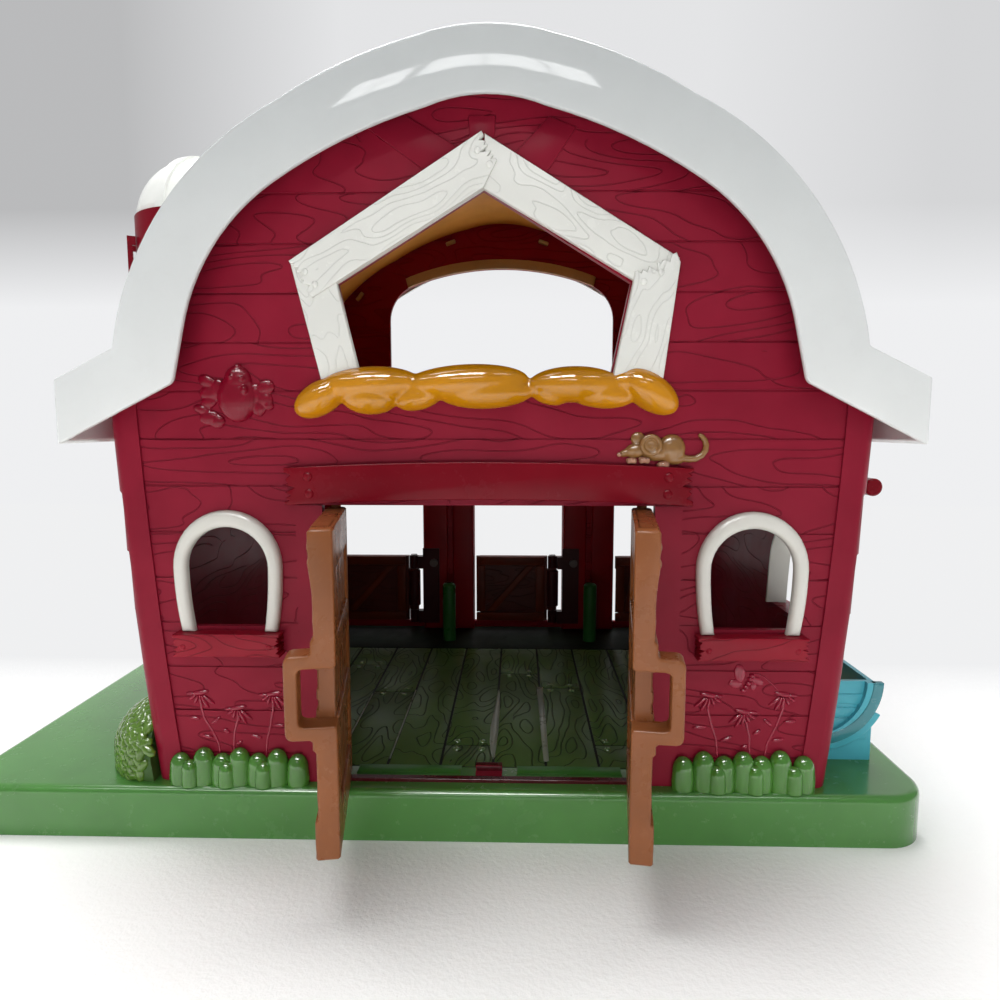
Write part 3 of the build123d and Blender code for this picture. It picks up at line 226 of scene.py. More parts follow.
def board_lines(run, seed, depth=0.25, dark=0.3, rings=7.0, length=0.03, height=0.011, width=0.0005):
    """Figure of a single board that runs along a direction in the front view, given as an angle from X; dark
    is how far painted shade darkens its lines.
    """
    turn = radians(run)
    def lines(tree, where):
        x, y, z = put(tree, "ShaderNodeSeparateXYZ", Vector=where).outputs
        along = maths(tree, "ADD", maths(tree, "MULTIPLY", x, cos(turn)),
                      maths(tree, "MULTIPLY", z, sin(turn)))
        rise, run_back = maths(tree, "MULTIPLY", z, cos(turn)), maths(tree, "MULTIPLY", x, sin(turn))
        across = maths(tree, "SUBTRACT", rise, run_back)
        across = maths(tree, "ADD", across, maths(tree, "MULTIPLY", y, 0.7))
        return engraved_lines(tree, along, across, seed, rings, length, height, width), depth, dark
    return lines


# ---------------------------------------------------------------- mesh helpers
def add_piece(name, bm, finish, body="barn", instead_of=(), sharp=38):
    """Close a bmesh's seams, turn its faces outwards and put it in the scene."""
    bmesh.ops.remove_doubles(bm, verts=bm.verts, dist=1e-6)
    bmesh.ops.recalc_face_normals(bm, faces=bm.faces)
    mesh = bpy.data.meshes.new(name)
    bm.to_mesh(mesh)
    bm.free()
    show(name, mesh, finish, body, instead_of, sharp)


def show(name, mesh, finish, body="barn", instead_of=(), sharp=38):
    """Put a mesh in the scene on its body, smooth but for edges steeper than an angle."""
    mesh.materials.clear()
    mesh.materials.append(finish)
    mesh.polygons.foreach_set("use_smooth", [True] * len(mesh.polygons))
    mesh.set_sharp_from_angle(angle=radians(sharp))
    made = bpy.data.objects.new(name, mesh)
    scene.collection.objects.link(made)
    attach(made, body)
    if instead_of:
        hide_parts(*instead_of)


def slab(bm, outline, behind, face, edge=0.8, steps=3):
    """Board in the front view: an outline (x, z) given thickness along Y, its face edges rounded."""
    corners = [bm.verts.new((x * mm, behind * mm, z * mm)) for x, z in outline]
    sheet = bm.faces.new(corners)
    raised = bmesh.ops.extrude_face_region(bm, geom=[sheet])["geom"]
    lifted = [g for g in raised if isinstance(g, bmesh.types.BMVert)]
    bmesh.ops.translate(bm, verts=lifted, vec=(0, (face - behind) * mm, 0))
    rim = [e for e in bm.edges if e.verts[0] in lifted and e.verts[1] in lifted]
    made = set(corners) | set(lifted)
    if edge:
        out = bmesh.ops.bevel(bm, geom=rim, offset=edge * mm, segments=steps, profile=0.5, affect="EDGES",
                              material=-1, clamp_overlap=True)
        made = {v for v in made if v.is_valid} | {v for v in out["verts"]}
    return list(made)


def egg(bm, centre, radii, turn=0.0, rings=20):
    """Ellipsoid at a place, with its radii, turned in the front view."""
    where = Matrix.Translation(Vector(centre) * mm) @ Matrix.Rotation(-radians(turn), 4, "Y")
    where = where @ Matrix.Diagonal((radii[0] * mm, radii[1] * mm, radii[2] * mm, 1))
    return bmesh.ops.create_uvsphere(bm, u_segments=rings * 3 // 2, v_segments=rings, radius=1,
                                     matrix=where)["verts"]


def rod(bm, points, radii, sides=12):
    """Round rod through points (x, y, z), with a radius at each, its ends rounded."""
    path = [Vector(p) * mm for p in points]
    loops = []
    for i, here in enumerate(path):
        ahead = path[min(i + 1, len(path) - 1)] - path[max(i - 1, 0)]
        turn = ahead.to_track_quat("Z", "Y").to_matrix().to_4x4()
        ring = bmesh.ops.create_circle(bm, cap_ends=False, segments=sides, radius=radii[i] * mm,
                                       matrix=Matrix.Translation(here) @ turn)["verts"]
        loops.append([e for e in bm.edges if e.verts[0] in ring and e.verts[1] in ring])
    for first, second in zip(loops, loops[1:]):
        bmesh.ops.bridge_loops(bm, edges=first + second)
    for end in (loops[0], loops[-1]):
        bmesh.ops.edgeloop_fill(bm, edges=end)


def post_rod(bm, x, y, foot, head, radius, pull, lead, sides):
    """Upright rod whose ends are drawn in by pull over a length of lead."""
    heights = (foot, foot + lead, head - lead, head)
    rod(bm, [(x, y, height) for height in heights], [radius - pull, radius, radius, radius - pull], sides)


def melted(bm, grain, passes):
    """One skin round overlapping lumps, its creases softened."""
    mesh = bpy.data.meshes.new("lumps")
    bm.to_mesh(mesh)
    bm.free()
    lumps = bpy.data.objects.new("lumps", mesh)
    scene.collection.objects.link(lumps)
    skin = lumps.modifiers.new("skin", "REMESH")
    skin.mode, skin.voxel_size, skin.use_smooth_shade = "VOXEL", grain * mm, True
    soft = lumps.modifiers.new("soft", "SMOOTH")
    soft.factor, soft.iterations = 0.5, passes
    seen = lumps.evaluated_get(bpy.context.evaluated_depsgraph_get())
    made = bpy.data.meshes.new_from_object(seen)
    bpy.data.objects.remove(lumps)
    bpy.data.meshes.remove(mesh)
    return made


def cut_flat(mesh):
    """Cut a closed mesh off where it goes into the front wall, and close it."""
    bm = bmesh.new()
    bm.from_mesh(mesh)
    cut = bmesh.ops.bisect_plane(bm, geom=bm.verts[:] + bm.edges[:] + bm.faces[:],
                                 plane_co=Vector((0, seat, 0)) * mm,
                                 plane_no=(0, 1, 0), clear_outer=True)["geom_cut"]
    bmesh.ops.edgeloop_fill(bm, edges=[g for g in cut if isinstance(g, bmesh.types.BMEdge)])
    bm.to_mesh(mesh)
    bm.free()
    return mesh


def add_lumps(bm, lumps, rings):
    """Ellipsoids on the front wall: x, height over the deck, half length, depth, half height and turn."""
    for x, z, length, proud, height, turn in lumps:
        egg(bm, (x, front, deck + z), (length, proud, height), turn, rings)


def show_relief(name, bm, grain, passes, finish, instead_of=()):
    """Lumps melted into one skin and cut off where they meet the front wall."""
    mesh = cut_flat(melted(bm, grain, passes))
    show(name, mesh, finish, instead_of=instead_of, sharp=70)


# ---------------------------------------------------------------- outlines in the front view
bites = [(0.0, 0.0), (0.12, 0.0), (0.2, 0.62), (0.27, 0.3), (0.33, 0.12), (0.4, 0.4), (0.46, 0.05),
         (0.53, 1.0), (0.6, 0.55), (0.66, 0.08), (0.74, 0.6), (0.81, 0.1), (0.87, 0.45), (0.92, 0.0),
         (1.0, 0.0)]


def box_outline(left, low, right, high):
    return [(left, low), (right, low), (right, high), (left, high)]


def bitten_end(start, end, depth, inward):
    """Points from start to end with small broken bites taken inwards."""
    (x0, z0), (x1, z1) = start, end
    return [(x0 + (x1 - x0) * t + inward[0] * depth * d, z0 + (z1 - z0) * t + inward[1] * depth * d) for t,
            d in bites]


def bowed_board(half, low, high, bow, depth, centre=0.0):
    """Board with broken ends, its long edges bowed up in the middle."""
    right = bitten_end((centre + half, low), (centre + half, high), depth, (-1, 0))
    left = bitten_end((centre - half, high), (centre - half, low), depth, (1, 0))
    def arch(level, way):
        return [(centre + way * half * t, level + bow * (1 - t * t))
                for t in [k / 8 for k in range(7, -8, -1)]]
    return right + arch(high, 1) + left + arch(low, -1)


def half_width(height):
    """Half width of the body at a height above the deck."""
    return flank_x + sqrt(flank_r**2 - (height - flank_z) ** 2)


def circle_through(low, middle, high):
    """Centre and radius of the circle through three points."""
    (x1, y1), (x2, y2), (x3, y3) = low, middle, high
    d = 2 * (x1 * (y2 - y3) + x2 * (y3 - y1) + x3 * (y1 - y2))
    q1, q2, q3 = hypot(x1, y1) ** 2, hypot(x2, y2) ** 2, hypot(x3, y3) ** 2
    cx = (q1 * (y2 - y3) + q2 * (y3 - y1) + q3 * (y1 - y2)) / d
    cy = (q1 * (x3 - x2) + q2 * (x1 - x3) + q3 * (x2 - x1)) / d
    return cx, cy, hypot(x1 - cx, y1 - cy)


flank_x, flank_z, flank_r = circle_through((141.0, 0.0), (148.6, 75.0), (154.0, 165.0))
strip_line = (flank_x - 12.6) * mm  # inner edge of the smooth corner strip, beside the flank's own curve
jamb_outer, jamb_top = 78.0, 118.0  # the smooth jambs end this far from the middle and this high


# ---------------------------------------------------------------- finishes
def make_finishes():
    """Every plastic of the barn, by name: its colour, gloss, drift of shade and what else it has."""
    white = (226, 228, 227)
    board = (216, 214, 206)
    worn = dict(dust=0.06, dust_tint=(200, 190, 175), shine=0.5)
    shiny = dict(coat=0.5, shine=0.6)
    recipes = {
        "front_red": ((134, 22, 44), 0.36, 0.05, dict(lines=wall_lines("X", True), shine=0.12)),
        "side_red": ((134, 22, 44), 0.34, 0.05, dict(lines=wall_lines("Y", False), shine=0.07)),
        "plain_red": ((130, 20, 42), 0.32, 0.05, dict(shine=0.14)),
        "back_red": ((124, 8, 22), 0.36, 0.05, dict(lines=wall_lines("X", False), shine=0.07)),
        "pillar_red": ((122, 8, 18), 0.36, 0.08, dict(shine=0.07)),
        "trim_red": ((120, 5, 24), 0.24, 0.05, dict(shine=0.14)),
        "ledge_red": ((142, 14, 36), 0.32, 0.06, dict(coat=0.1, shine=0.14,
                                                      lines=board_lines(0, 4.0, 0.3, 0.3, 6.0, 0.03, 0.008))),
        "bird_red": ((126, 8, 34), 0.2, 0.05, dict(coat=0.1, shine=0.25)),
        # painted highlight: the flowers are paler than the wall's red
        "flower_highlight_red": ((146, 26, 52), 0.22, 0.05, dict(coat=0.3, shine=0.4)),
        # the roof is greyed towards its top as painted shade
        "roof_white": (white, 0.05, 0.015, dict(pebble=0.002, dust=0.05, dust_tint=(190, 185, 175), shine=0.5,
                                                painted_top_shade=0.45)),
        "frame_white": (board, 0.2, 0.015, worn),
        "silo_white": ((244, 245, 240), 0.2, 0.02, worn),
        "loft_tan": ((214, 152, 66), 0.42, 0.07, dict(shine=0.25)),
        "arch_tan": ((168, 132, 84), 0.4, 0.07, dict(shine=0.25)),
        "hay_gold": ((196, 130, 8), 0.07, 0.06, dict(pebble=0.002, coat=0.2, shine=0.5)),
        "mouse_brown": ((140, 100, 54), 0.2, 0.12, dict(coat=0.3, shine=0.5)),
        "mouse_pink": ((168, 120, 96), 0.22, 0.08, dict(shine=0.4)),
        "base_green": ((72, 130, 56), 0.24, 0.06, dict(coat=0.5, shine=0.45)),
        "floor_green": ((80, 112, 56), 0.36, 0.1, dict(lines=floor_grain, shine=0.14)),
        "kerb_green": ((58, 122, 44), 0.34, 0.06, dict(shine=0.15)),
        # painted shade for the floor's seams and its far end
        "floor_painted_shade": ((15, 26, 13), 0.5, 0.1, dict(shine=0.1)),
        # painted highlight: the nail heads are paler than the boards
        "floor_nail": ((104, 136, 88), 0.2, 0.08, dict(coat=0.4, shine=0.6)),
        # painted reflection: a pale colour for the seam patches, with some real gloss
        "seam_painted_reflection": ((138, 150, 134), 0.3, 0.04, dict(shine=0.5)),
        # painted shade: the gates' boards are a dark copy of the doors' brown
        "gate_board": ((90, 34, 16), 0.38, 0.12, dict(shine=0.12)),
        "underside_green": ((52, 100, 44), 0.4, 0.06, {}),
        "screw_dull": ((74, 66, 62), 0.34, 0.05, dict(shine=0.3)),
        # painted shade on the doorway's strip and stop
        "stop_shade_red": ((74, 14, 22), 0.26, 0.06, dict(coat=0.3, shine=0.2)),
        "steel": ((120, 120, 120), 0.28, 0.05, {}),
        "door_brown": ((132, 77, 40), 0.28, 0.07, dict(dust=0.1, dust_tint=(200, 150, 110), shine=0.3)),
        # painted shade: the gates are a dark copy of the doors' brown
        "gate_brown": ((74, 22, 12), 0.42, 0.1, dict(lines=board_lines(0, 9.0, 0.2, 0.4, 6.0, 0.03, 0.007),
                                                     shine=0.2)),
        # painted shade: the brackets and hinge sleeves are darkened for the shade inside the barn
        "bracket_dark": ((56, 12, 15), 0.36, 0.06, dict(shine=0.15)),
        "post_green": ((32, 86, 34), 0.3, 0.05, dict(shine=0.25)),
        "silo_red": ((122, 12, 30), 0.34, 0.05, dict(shine=0.1)),
        "trough_blue": ((78, 176, 192), 0.3, 0.05, dict(shine=0.35)),
        # painted shade: a darker copy of the trough's turquoise for the bail
        "trough_band": ((58, 134, 144), 0.26, 0.06, dict(coat=0.4, shine=0.4)),
        "feed_gold": ((204, 156, 62), 0.34, 0.15, dict(shine=0.4)),
        "bush_green": ((70, 124, 44), 0.06, 0.1, dict(pebble=0.003, **shiny)),
        "leaf_green": ((90, 128, 38), 0.18, 0.14, shiny),
        # painted shade: the bush under the leaves is darker, as it shows only in the gaps between them
        "leaf_shade_green": ((62, 96, 40), 0.4, 0.14, dict(shine=0.3)),
    }
    made = {name: moulded(name, *plain, **more) for name, (*plain, more) in recipes.items()}
    for name, run, seed in (("post_white_left", 102, 3.3), ("post_white_right", 81, 7.1),
                            ("rafter_white_left", 31, 5.2),
                            ("rafter_white_right", -31, 9.4)):
        made[name] = moulded(name, (226, 226, 220), 0.24, 0.015, shine=0.45,
                             lines=board_lines(run, seed, 0.13, 0.1, 9.0, 0.024, 0.0095, 0.00045))
    return made


def finish_nodes(finishes):
    """Give each carried-over node its finish."""
    worn_by = {
        "front_red": "front_wall", "back_red": "back_wall", "side_red": "left_side_wall right_side_wall",
        "roof_white": "roof_shell", "loft_tan": "loft_floor", "base_green": "base_cover",
        "underside_green": "base_plate", "steel": "base_screws gate_pins", "screw_dull": "bracket_screws",
        "silo_red": "silo_body silo_ladder", "silo_white": "silo_dome",
        "frame_white": "side_window_frame left_window_frame right_window_frame loft_window_frame",
        "ledge_red": "side_window_ledge left_window_ledge right_window_ledge",
        "trim_red": "side_awning lintel_board",
        "gate_brown": "left_gate middle_gate right_gate",
        "bracket_dark": "left_gate_bracket middle_gate_bracket right_gate_bracket",
        "post_green": "stall_posts",
        "trough_blue": "trough", "feed_gold": "feed", "bush_green": "left_bushes right_bushes",
        # the leafy bush takes the darker green of painted shade
        "leaf_shade_green": "leafy_bush", "door_brown": "left_door right_door", "bird_red": "bird",
        "mouse_brown": "mouse",
        "hay_gold": "hay_rope",
    }
    finish_of = {node: finish for finish, names in worn_by.items() for node in names.split()}
    for name, node in nodes.items():
        node.data.materials.clear()
        node.data.materials.append(finishes[finish_of[name]])


# ---------------------------------------------------------------- floor, backdrop and lamps
def stage_sheet(name, half, finish, place=Matrix()):
    """Flat square of the stage."""
    bm = bmesh.new()
    bmesh.ops.create_grid(bm, x_segments=1, y_segments=1, size=half, matrix=place)
    mesh = bpy.data.meshes.new(name)
    bm.to_mesh(mesh)
    bm.free()
    mesh.materials.append(finish)
    sheet = bpy.data.objects.new(name, mesh)
    scene.collection.objects.link(sheet)
    return sheet


def make_table():
    """White table with a fine tooth, which runs into the backdrop's white behind the barn."""
    made, tree = blank_finish("table_white")
    where = put(tree, "ShaderNodeTexCoord").outputs["Object"]
    colour = mixed(tree, mottle(tree, where, 9, 2), paint(248, 248, 246), paint(253, 253, 251))
    tooth = mottle(tree, where, 420, 4, 0.65)
    bump = put(tree, "ShaderNodeBump", Strength=1.0, Distance=0.0005, Height=tooth).outputs[0]
    board = put(tree, "ShaderNodeBsdfPrincipled", Base_Color=colour, Roughness=0.7, Normal=bump).outputs[0]
    seen = put(tree, "ShaderNodeLightPath")
    picture = maths(tree, "MAXIMUM", seen.outputs["Is Camera Ray"], seen.outputs["Is Glossy Ray"])
    far = ramp(tree, put(tree, "ShaderNodeSeparateXYZ", Vector=where).outputs["Y"], -0.13, 0.1)
    glow = put(tree, "ShaderNodeEmission", Color=(0.985, 0.99, 1.0, 1), Strength=0.88).outputs[0]
    both = put(tree, "ShaderNodeMixShader", i0=maths(tree, "MULTIPLY", picture, far), i1=board,
               i2=glow).outputs[0]
    put(tree, "ShaderNodeOutputMaterial", Surface=both)
    return stage_sheet("table", 4, made)


def make_backdrop():
    """White wall behind: a glow for the picture and its reflections, and plain matt for all other light."""
    made, tree = blank_finish("backdrop_white")
    seen = put(tree, "ShaderNodeLightPath")
    mirrored = maths(tree, "MAXIMUM", seen.outputs["Is Glossy Ray"], seen.outputs["Is Transmission Ray"])
    picture = maths(tree, "MAXIMUM", seen.outputs["Is Camera Ray"], mirrored)
    where = put(tree, "ShaderNodeTexCoord").outputs["Object"]
    x, _, z = put(tree, "ShaderNodeSeparateXYZ", Vector=where).outputs
    left = ramp(tree, x, -0.8, -0.35, 0.5, 0.79)
    right = ramp(tree, x, 0.4, 0.85, 1.0, 0.86)
    shade = maths(tree, "MULTIPLY", left, right)
    low = ramp(tree, z, 0.42, 0.62, 1.0, 0.0)
    shade = maths(tree, "MULTIPLY_ADD", low, maths(tree, "SUBTRACT", 0.88, shade), shade)
    glow = put(tree, "ShaderNodeEmission", Color=(0.98, 0.985, 1.0, 1), Strength=shade).outputs[0]
    flat = put(tree, "ShaderNodeBsdfDiffuse", Color=(0.8, 0.8, 0.8, 1)).outputs[0]
    both = put(tree, "ShaderNodeMixShader", i0=picture, i1=flat, i2=glow).outputs[0]
    put(tree, "ShaderNodeOutputMaterial", Surface=both)
    return stage_sheet("backdrop", 2.5, made, Matrix.Translation((0, 1.1, 1.0)) @ Matrix.Rotation(pi / 2, 4,
                                                                                                  "X"))


def make_lamps():
    """Room light, lamps that wash the barn, and window panes that only gleam."""
    make_lamp("window_lamp", (-0.5, -0.8, 1.3), (0, -0.1, 0.15), (0.9, 0.6), 0.5, gleam=False)
    make_lamp("top_lamp", (-0.15, 0.2, 1.3), (0, -0.15, 0.0), (1.2, 0.8), 28)
    make_lamp("side_lamp", (1.2, -0.5, 0.7), (0, -0.05, 0.15), (0.6, 0.6), 0.7, gleam=False)
    make_lamp("front_lamp", (0.0, -0.6, 0.05), (0, -0.1, 0.03), (0.7, 0.06), 0.6, gleam=False)
    make_lamp("table_lamp", (0.0, -0.42, 0.55), (0, -0.34, 0.0), (1.0, 0.15), 0.42, gleam=False)
    for kind, places, size, power in (("pane", (-0.36, -0.04), (0.28, 0.24), 6.0),
                                      ("strip", (-0.75, 0.45), (0.4, 0.06), 1.2)):
        for k, across in enumerate(places):
            target = (across * 0.3, -0.12, 0.05)
            make_lamp(f"window_{kind}_{k}", (across, -0.74, 1.12), target, size, power, wash=False)
    tall, brightness = 0.072, 24.0  # height of the panes the roof's edge mirrors, and watts a square metre
    for k, across in enumerate((-0.33, -0.245, -0.118, 0.0, 0.118)):
        wide, drop = (0.076, 0.02) if k < 2 else (0.109, 0.0)
        for row, level in enumerate((0.864, 0.944)):
            make_lamp(f"roof_gleam_{k}_{row}", (across, -1.4, level - drop), (across * 0.14, -0.13, 0.3),
                      (wide, tall), brightness * wide * tall)


def make_studio():
    table = make_table()
    wall = make_backdrop()
    world = bpy.data.worlds.new("room")
    scene.world = world
    world.use_nodes = True
    world.node_tree.nodes["Background"].inputs[0].default_value = (0.95, 0.97, 1.0, 1)
    world.node_tree.nodes["Background"].inputs[1].default_value = 0.28
    scene.view_settings.view_transform = "Standard"
    make_lamps()


# ---------------------------------------------------------------- windows, sills and the doorway's board
window_middle = 106.2


def horseshoe_line(centre, radius, foot, crown, low, spring):
    """Points of a round-headed window line from its left foot over the top to its right foot."""
    count = 22  # chords in the round head
    leg = [(radius - (radius - foot) * (t / 6) ** 2, spring - (spring - low) * t / 6)
           for t in range(6, 0, -1)]
    left = [(centre - reach, height) for reach, height in leg]
    right = [(centre + reach, height) for reach, height in reversed(leg)]
    top = []
    for k in range(count + 1):
        turn = pi - pi * k / count
        top.append((centre + radius * cos(turn), spring + (radius + crown) * sin(turn)))
    return left + top + right


def make_window(centre, name, finishes):
    low, spring = deck + 65.2, deck + 92.0
    outer = horseshoe_line(centre, 22.2, 19.6, 1.2, low, spring)
    inner = horseshoe_line(centre, 16.6, 14.4, 0.0, low, spring)
    bm = bmesh.new()
    slab(bm, outer + inner[::-1], seat, front - 4.0, 2.3, 6)
    add_piece(name, bm, finishes["frame_white"], instead_of=(name,), sharp=50)


def make_sill(centre, name, finishes):
    top = deck + 65.1
    bm = bmesh.new()
    slab(bm, bowed_board(21.9, top - 9.3, top, 0.3, 2.3, centre), seat, front - 7.1, 0.7, 3)
    for side in (-1, 1):
        egg(bm, (centre + side * 17.6, front - 7.0, top - 5.0), (1.25, 0.55, 1.25), rings=12)
    add_piece(name, bm, finishes["ledge_red"], instead_of=(name,))


def make_lintel(finishes):
    low = deck + 117.8
    bm = bmesh.new()
    slab(bm, bowed_board(81.3, low, low + 15.0, 2.4, 4.0), front - 0.95, front - 3.95, 0.55, 3)
    for side in (-1, 1):
        for step, lift in ((71.6, 3.6), (71.2, -3.1)):
            egg(bm, (side * step, front - 3.9, low + 7.8 + lift), (1.9, 0.75, 1.9), rings=14)
    add_piece("lintel_board", bm, finishes["trim_red"], instead_of=("lintel_board",))


# ---------------------------------------------------------------- loft window boards
def make_loft_boards(finishes):
    """Two posts and two rafters, lapped at their broken ends, with nail heads at the laps."""
    left = [(-76.5, deck + 212.7), (-69.3, deck + 183.0), (-65.2, deck + 166.0), (-49.2, deck + 166.0),
            (-58.6, deck + 205.5)]
    right = [(68.2, deck + 166.0), (73.9, deck + 211.4)]
    right += bitten_end((72.3, deck + 215.1), (56.5, deck + 207.8), 3.2, (0.35, -0.94))
    right += [(56.3, deck + 204.8), (48.5, deck + 166.0)]
    over = bitten_end((-1.9, deck + 259.8), (3.9, deck + 249.1), 4.2, (-0.87, -0.49))
    rafter_left = over + [(-1.2, deck + 239.3), (-67.8, deck + 198.8)]
    rafter_left += bitten_end((-68.7, deck + 200.0), (-76.5, deck + 212.7), 3.2, (0.85, 0.52))
    rafter_right = [(-0.8, deck + 259.5), (73.9, deck + 213.3), (66.0, deck + 202.0), (56.4, deck + 205.2),
                    (-1.2, deck + 239.4)]
    for name, outline, face, finish in (
        ("loft_post_left", left, 3.0, "post_white_left"), ("loft_post_right", right, 4.3, "post_white_right"),
        ("loft_rafter_left", rafter_left, 4.3, "rafter_white_left"),
        ("loft_rafter_right", rafter_right, 3.0, "rafter_white_right"),
    ):
        bm = bmesh.new()
        slab(bm, outline, seat, front - face, 0.7, 3)
        nails = {"loft_rafter_left": [(-70.2, 208.6), (-66.4, 203.8), (-3.4, 252.6), (1.2, 247.6)],
                 "loft_post_right": [(66.5, 207.6), (60.0, 204.2)]}.get(name, [])
        for x, z in nails:
            egg(bm, (x, front - face, deck + z), (1.3, 0.6, 1.3), rings=12)
        stands = ("loft_window_frame",) if name == "loft_rafter_left" else ()
        add_piece(name, bm, finishes[finish], instead_of=stands)


def make_gable_boards(finishes):
    """Three smooth boards that fan out behind the loft window's peak."""
    for k, outline in enumerate((
        [(-45.6, 262.4), (-33.0, 268.0), (-9.0, 254.0), (-20.0, 244.0)],
        [(-7.2, 266.5), (3.4, 266.5), (2.6, 256.0), (-6.2, 256.0)],
        [(23.5, 266.0), (34.0, 262.0), (22.0, 244.5), (10.0, 252.0)],
    )):
        bm = bmesh.new()
        slab(bm, [(x, deck + z) for x, z in outline], front, front - 0.9, 0.3, 2)
        add_piece(f"gable_board_{k}", bm, finishes["plain_red"])


# ---------------------------------------------------------------- hay bundle
def make_hay(finishes):
    lumps = [(-66.3, 160.4, 11.6, 6.7, 30), (-46.5, 165.6, 20.5, 7.2, 3), (-46.8, 160.4, 11.4, 6.6, -3),
             (-27.0, 160.6, 9.8, 5.0, 14), (-8.5, 166.4, 25.0, 7.2, 3), (-0.5, 162.4, 19.0, 6.4, 2),
             (24.6, 161.9, 7.8, 4.4, -12), (34.5, 165.6, 18.5, 7.2, 0), (44.5, 161.6, 13.5, 5.4, -5),
             (55.5, 166.2, 8.5, 4.6, -8), (63.6, 162.9, 13.2, 7.2, -34)]
    bm = bmesh.new()
    for x, z, length, height, turn in lumps:
        egg(bm, (x, front - 1.0, deck + z), (length, height * 1.16, height), turn, 26)
    show_relief("hay_rope", bm, 0.7, 9, finishes["hay_gold"], ("hay_rope",))


# ---------------------------------------------------------------- moulded animals
def make_bird(finishes):
    lumps = [(-100.0, 160.6, 8.2, 4.0, 9.8, 0), (-99.6, 167.2, 5.6, 3.7, 6.2, 0),
             (-99.3, 172.4, 1.6, 2.2, 1.9, 0), (-96.0, 163.6, 1.9, 4.6, 2.7, 8),
             (-101.3, 168.6, 1.7, 4.2, 1.5, 0), (-96.9, 168.0, 1.6, 4.1, 1.4, 0),
             (-112.0, 167.0, 4.0, 1.5, 2.6, -28), (-110.8, 162.4, 4.6, 1.5, 3.4, 0),
             (-111.6, 158.8, 3.4, 1.4, 2.6, 20), (-107.6, 163.8, 3.6, 1.6, 4.4, 0),
             (-88.6, 164.6, 3.9, 1.5, 3.2, 18), (-89.2, 160.0, 3.6, 1.5, 3.4, 0),
             (-87.6, 157.6, 2.4, 1.4, 1.9, -20), (-91.4, 156.4, 2.9, 1.4, 3.2, 0),
             (-93.2, 161.8, 3.2, 1.6, 4.6, 0), (-114.4, 155.9, 3.9, 1.6, 1.9, -18),
             (-111.4, 152.6, 4.4, 1.7, 3.2, 0), (-108.4, 151.2, 3.2, 1.6, 2.9, 0)]
    bm = bmesh.new()
    add_lumps(bm, lumps, 16)
    show_relief("bird", bm, 0.32, 3, finishes["bird_red"], ("bird",))


def make_mouse(finishes):
    """Body with its tail, then the rolled ear, then the paws and the nose."""
    bm = bmesh.new()
    add_lumps(bm, [(55.6, 138.9, 3.7, 1.9, 1.6, 14), (58.9, 139.7, 4.4, 2.9, 3.0, 10),
                   (59.7, 144.4, 2.9, 1.5, 2.7, 0), (73.0, 140.3, 5.5, 3.5, 5.9, 0),
                   (67.6, 138.6, 6.2, 2.7, 3.2, 0), (74.2, 136.6, 4.5, 2.6, 2.6, 0)], 16)
    tail = [(77.0, 136.8), (79.8, 136.3), (82.4, 136.5), (84.8, 137.8), (86.2, 139.8), (86.5, 141.8),
            (86.0, 143.6), (84.8, 145.2), (83.4, 146.0)]
    rod(bm, [(x, front - (0.8 if k else 0.6), deck + z) for k, (x, z) in enumerate(tail)],
        [1.5, 1.4, 1.35, 1.3, 1.25, 1.2, 1.15, 1.05, 0.8])
    show_relief("mouse", bm, 0.3, 3, finishes["mouse_brown"], ("mouse",))
    bm = bmesh.new()
    across = Matrix.Rotation(pi / 2, 4, "X")
    for major, minor, away in ((3.5, 0.95, 2.9), (1.6, 1.1, 2.0)):
        ring = Matrix.Translation(Vector((64.4, front - away, deck + 141.9)) * mm) @ across
        start = bmesh.ops.create_circle(bm, segments=12, radius=minor * mm,
                                        matrix=ring @ Matrix.Translation((major * mm, 0,
                                                                          0)) @ across)["verts"]
        bmesh.ops.spin(bm, geom=start + [e for e in bm.edges if e.verts[0] in start], cent=ring.translation,
                       axis=(0, 1, 0), angle=2 * pi, steps=36, use_merge=True)
    egg(bm, (64.4, front - 1.9, deck + 141.9), (3.3, 0.9, 3.3), rings=16)
    show("mouse_ear", melted(bm, 0.25, 2), finishes["mouse_brown"], sharp=70)
    bm = bmesh.new()
    egg(bm, (52.3, front - 1.0, deck + 138.1), (1.0, 1.0, 1.0), rings=12)
    for x, z, length, height, turn in ((57.1, 135.7, 2.3, 1.15, 0), (62.2, 135.9, 2.5, 1.2, -12),
                                       (69.6, 134.1, 2.7, 1.3, 8)):
        for toe in (-1, 0, 1):
            tip = (x + toe * length * 0.45, front - 1.9, deck + z - abs(toe) * 0.15)
            egg(bm, tip, (length * 0.42, 1.2, height), turn, 12)
        egg(bm, (x, front - 1.2, deck + z + 0.2), (length, 1.3, height), turn, 12)
    show_relief("mouse_paws", bm, 0.22, 2, finishes["mouse_pink"])


# ---------------------------------------------------------------- flowers and butterfly in low relief
petals = [(-5.4, 0.1), (-4.4, -2.6), (-1.8, -4.3), (1.2, -5.5), (4.0, -6.4), (6.6, -4.5)]


def add_flower(bm, head, side, stem):
    x, z = head
    egg(bm, (x + side * 0.8, front, deck + z + 0.7), (3.6, 1.35, 1.1), side * 10, 10)
    for across, drop in petals:
        tip = Vector((side * across, 0, drop))
        root = Vector((side * across * 0.22, 0, 0.3 + drop * 0.12))
        middle = (tip + root) / 2
        turn = atan2(tip.z - root.z, tip.x - root.x)
        egg(bm, (x + middle.x, front, deck + z + middle.z), ((tip - root).length / 2, 1.15, 0.76),
            turn * 180 / pi, 10)
    rod(bm, [(sx, front + 0.1, deck + sz) for sx, sz in stem], [0.55] * len(stem), 8)


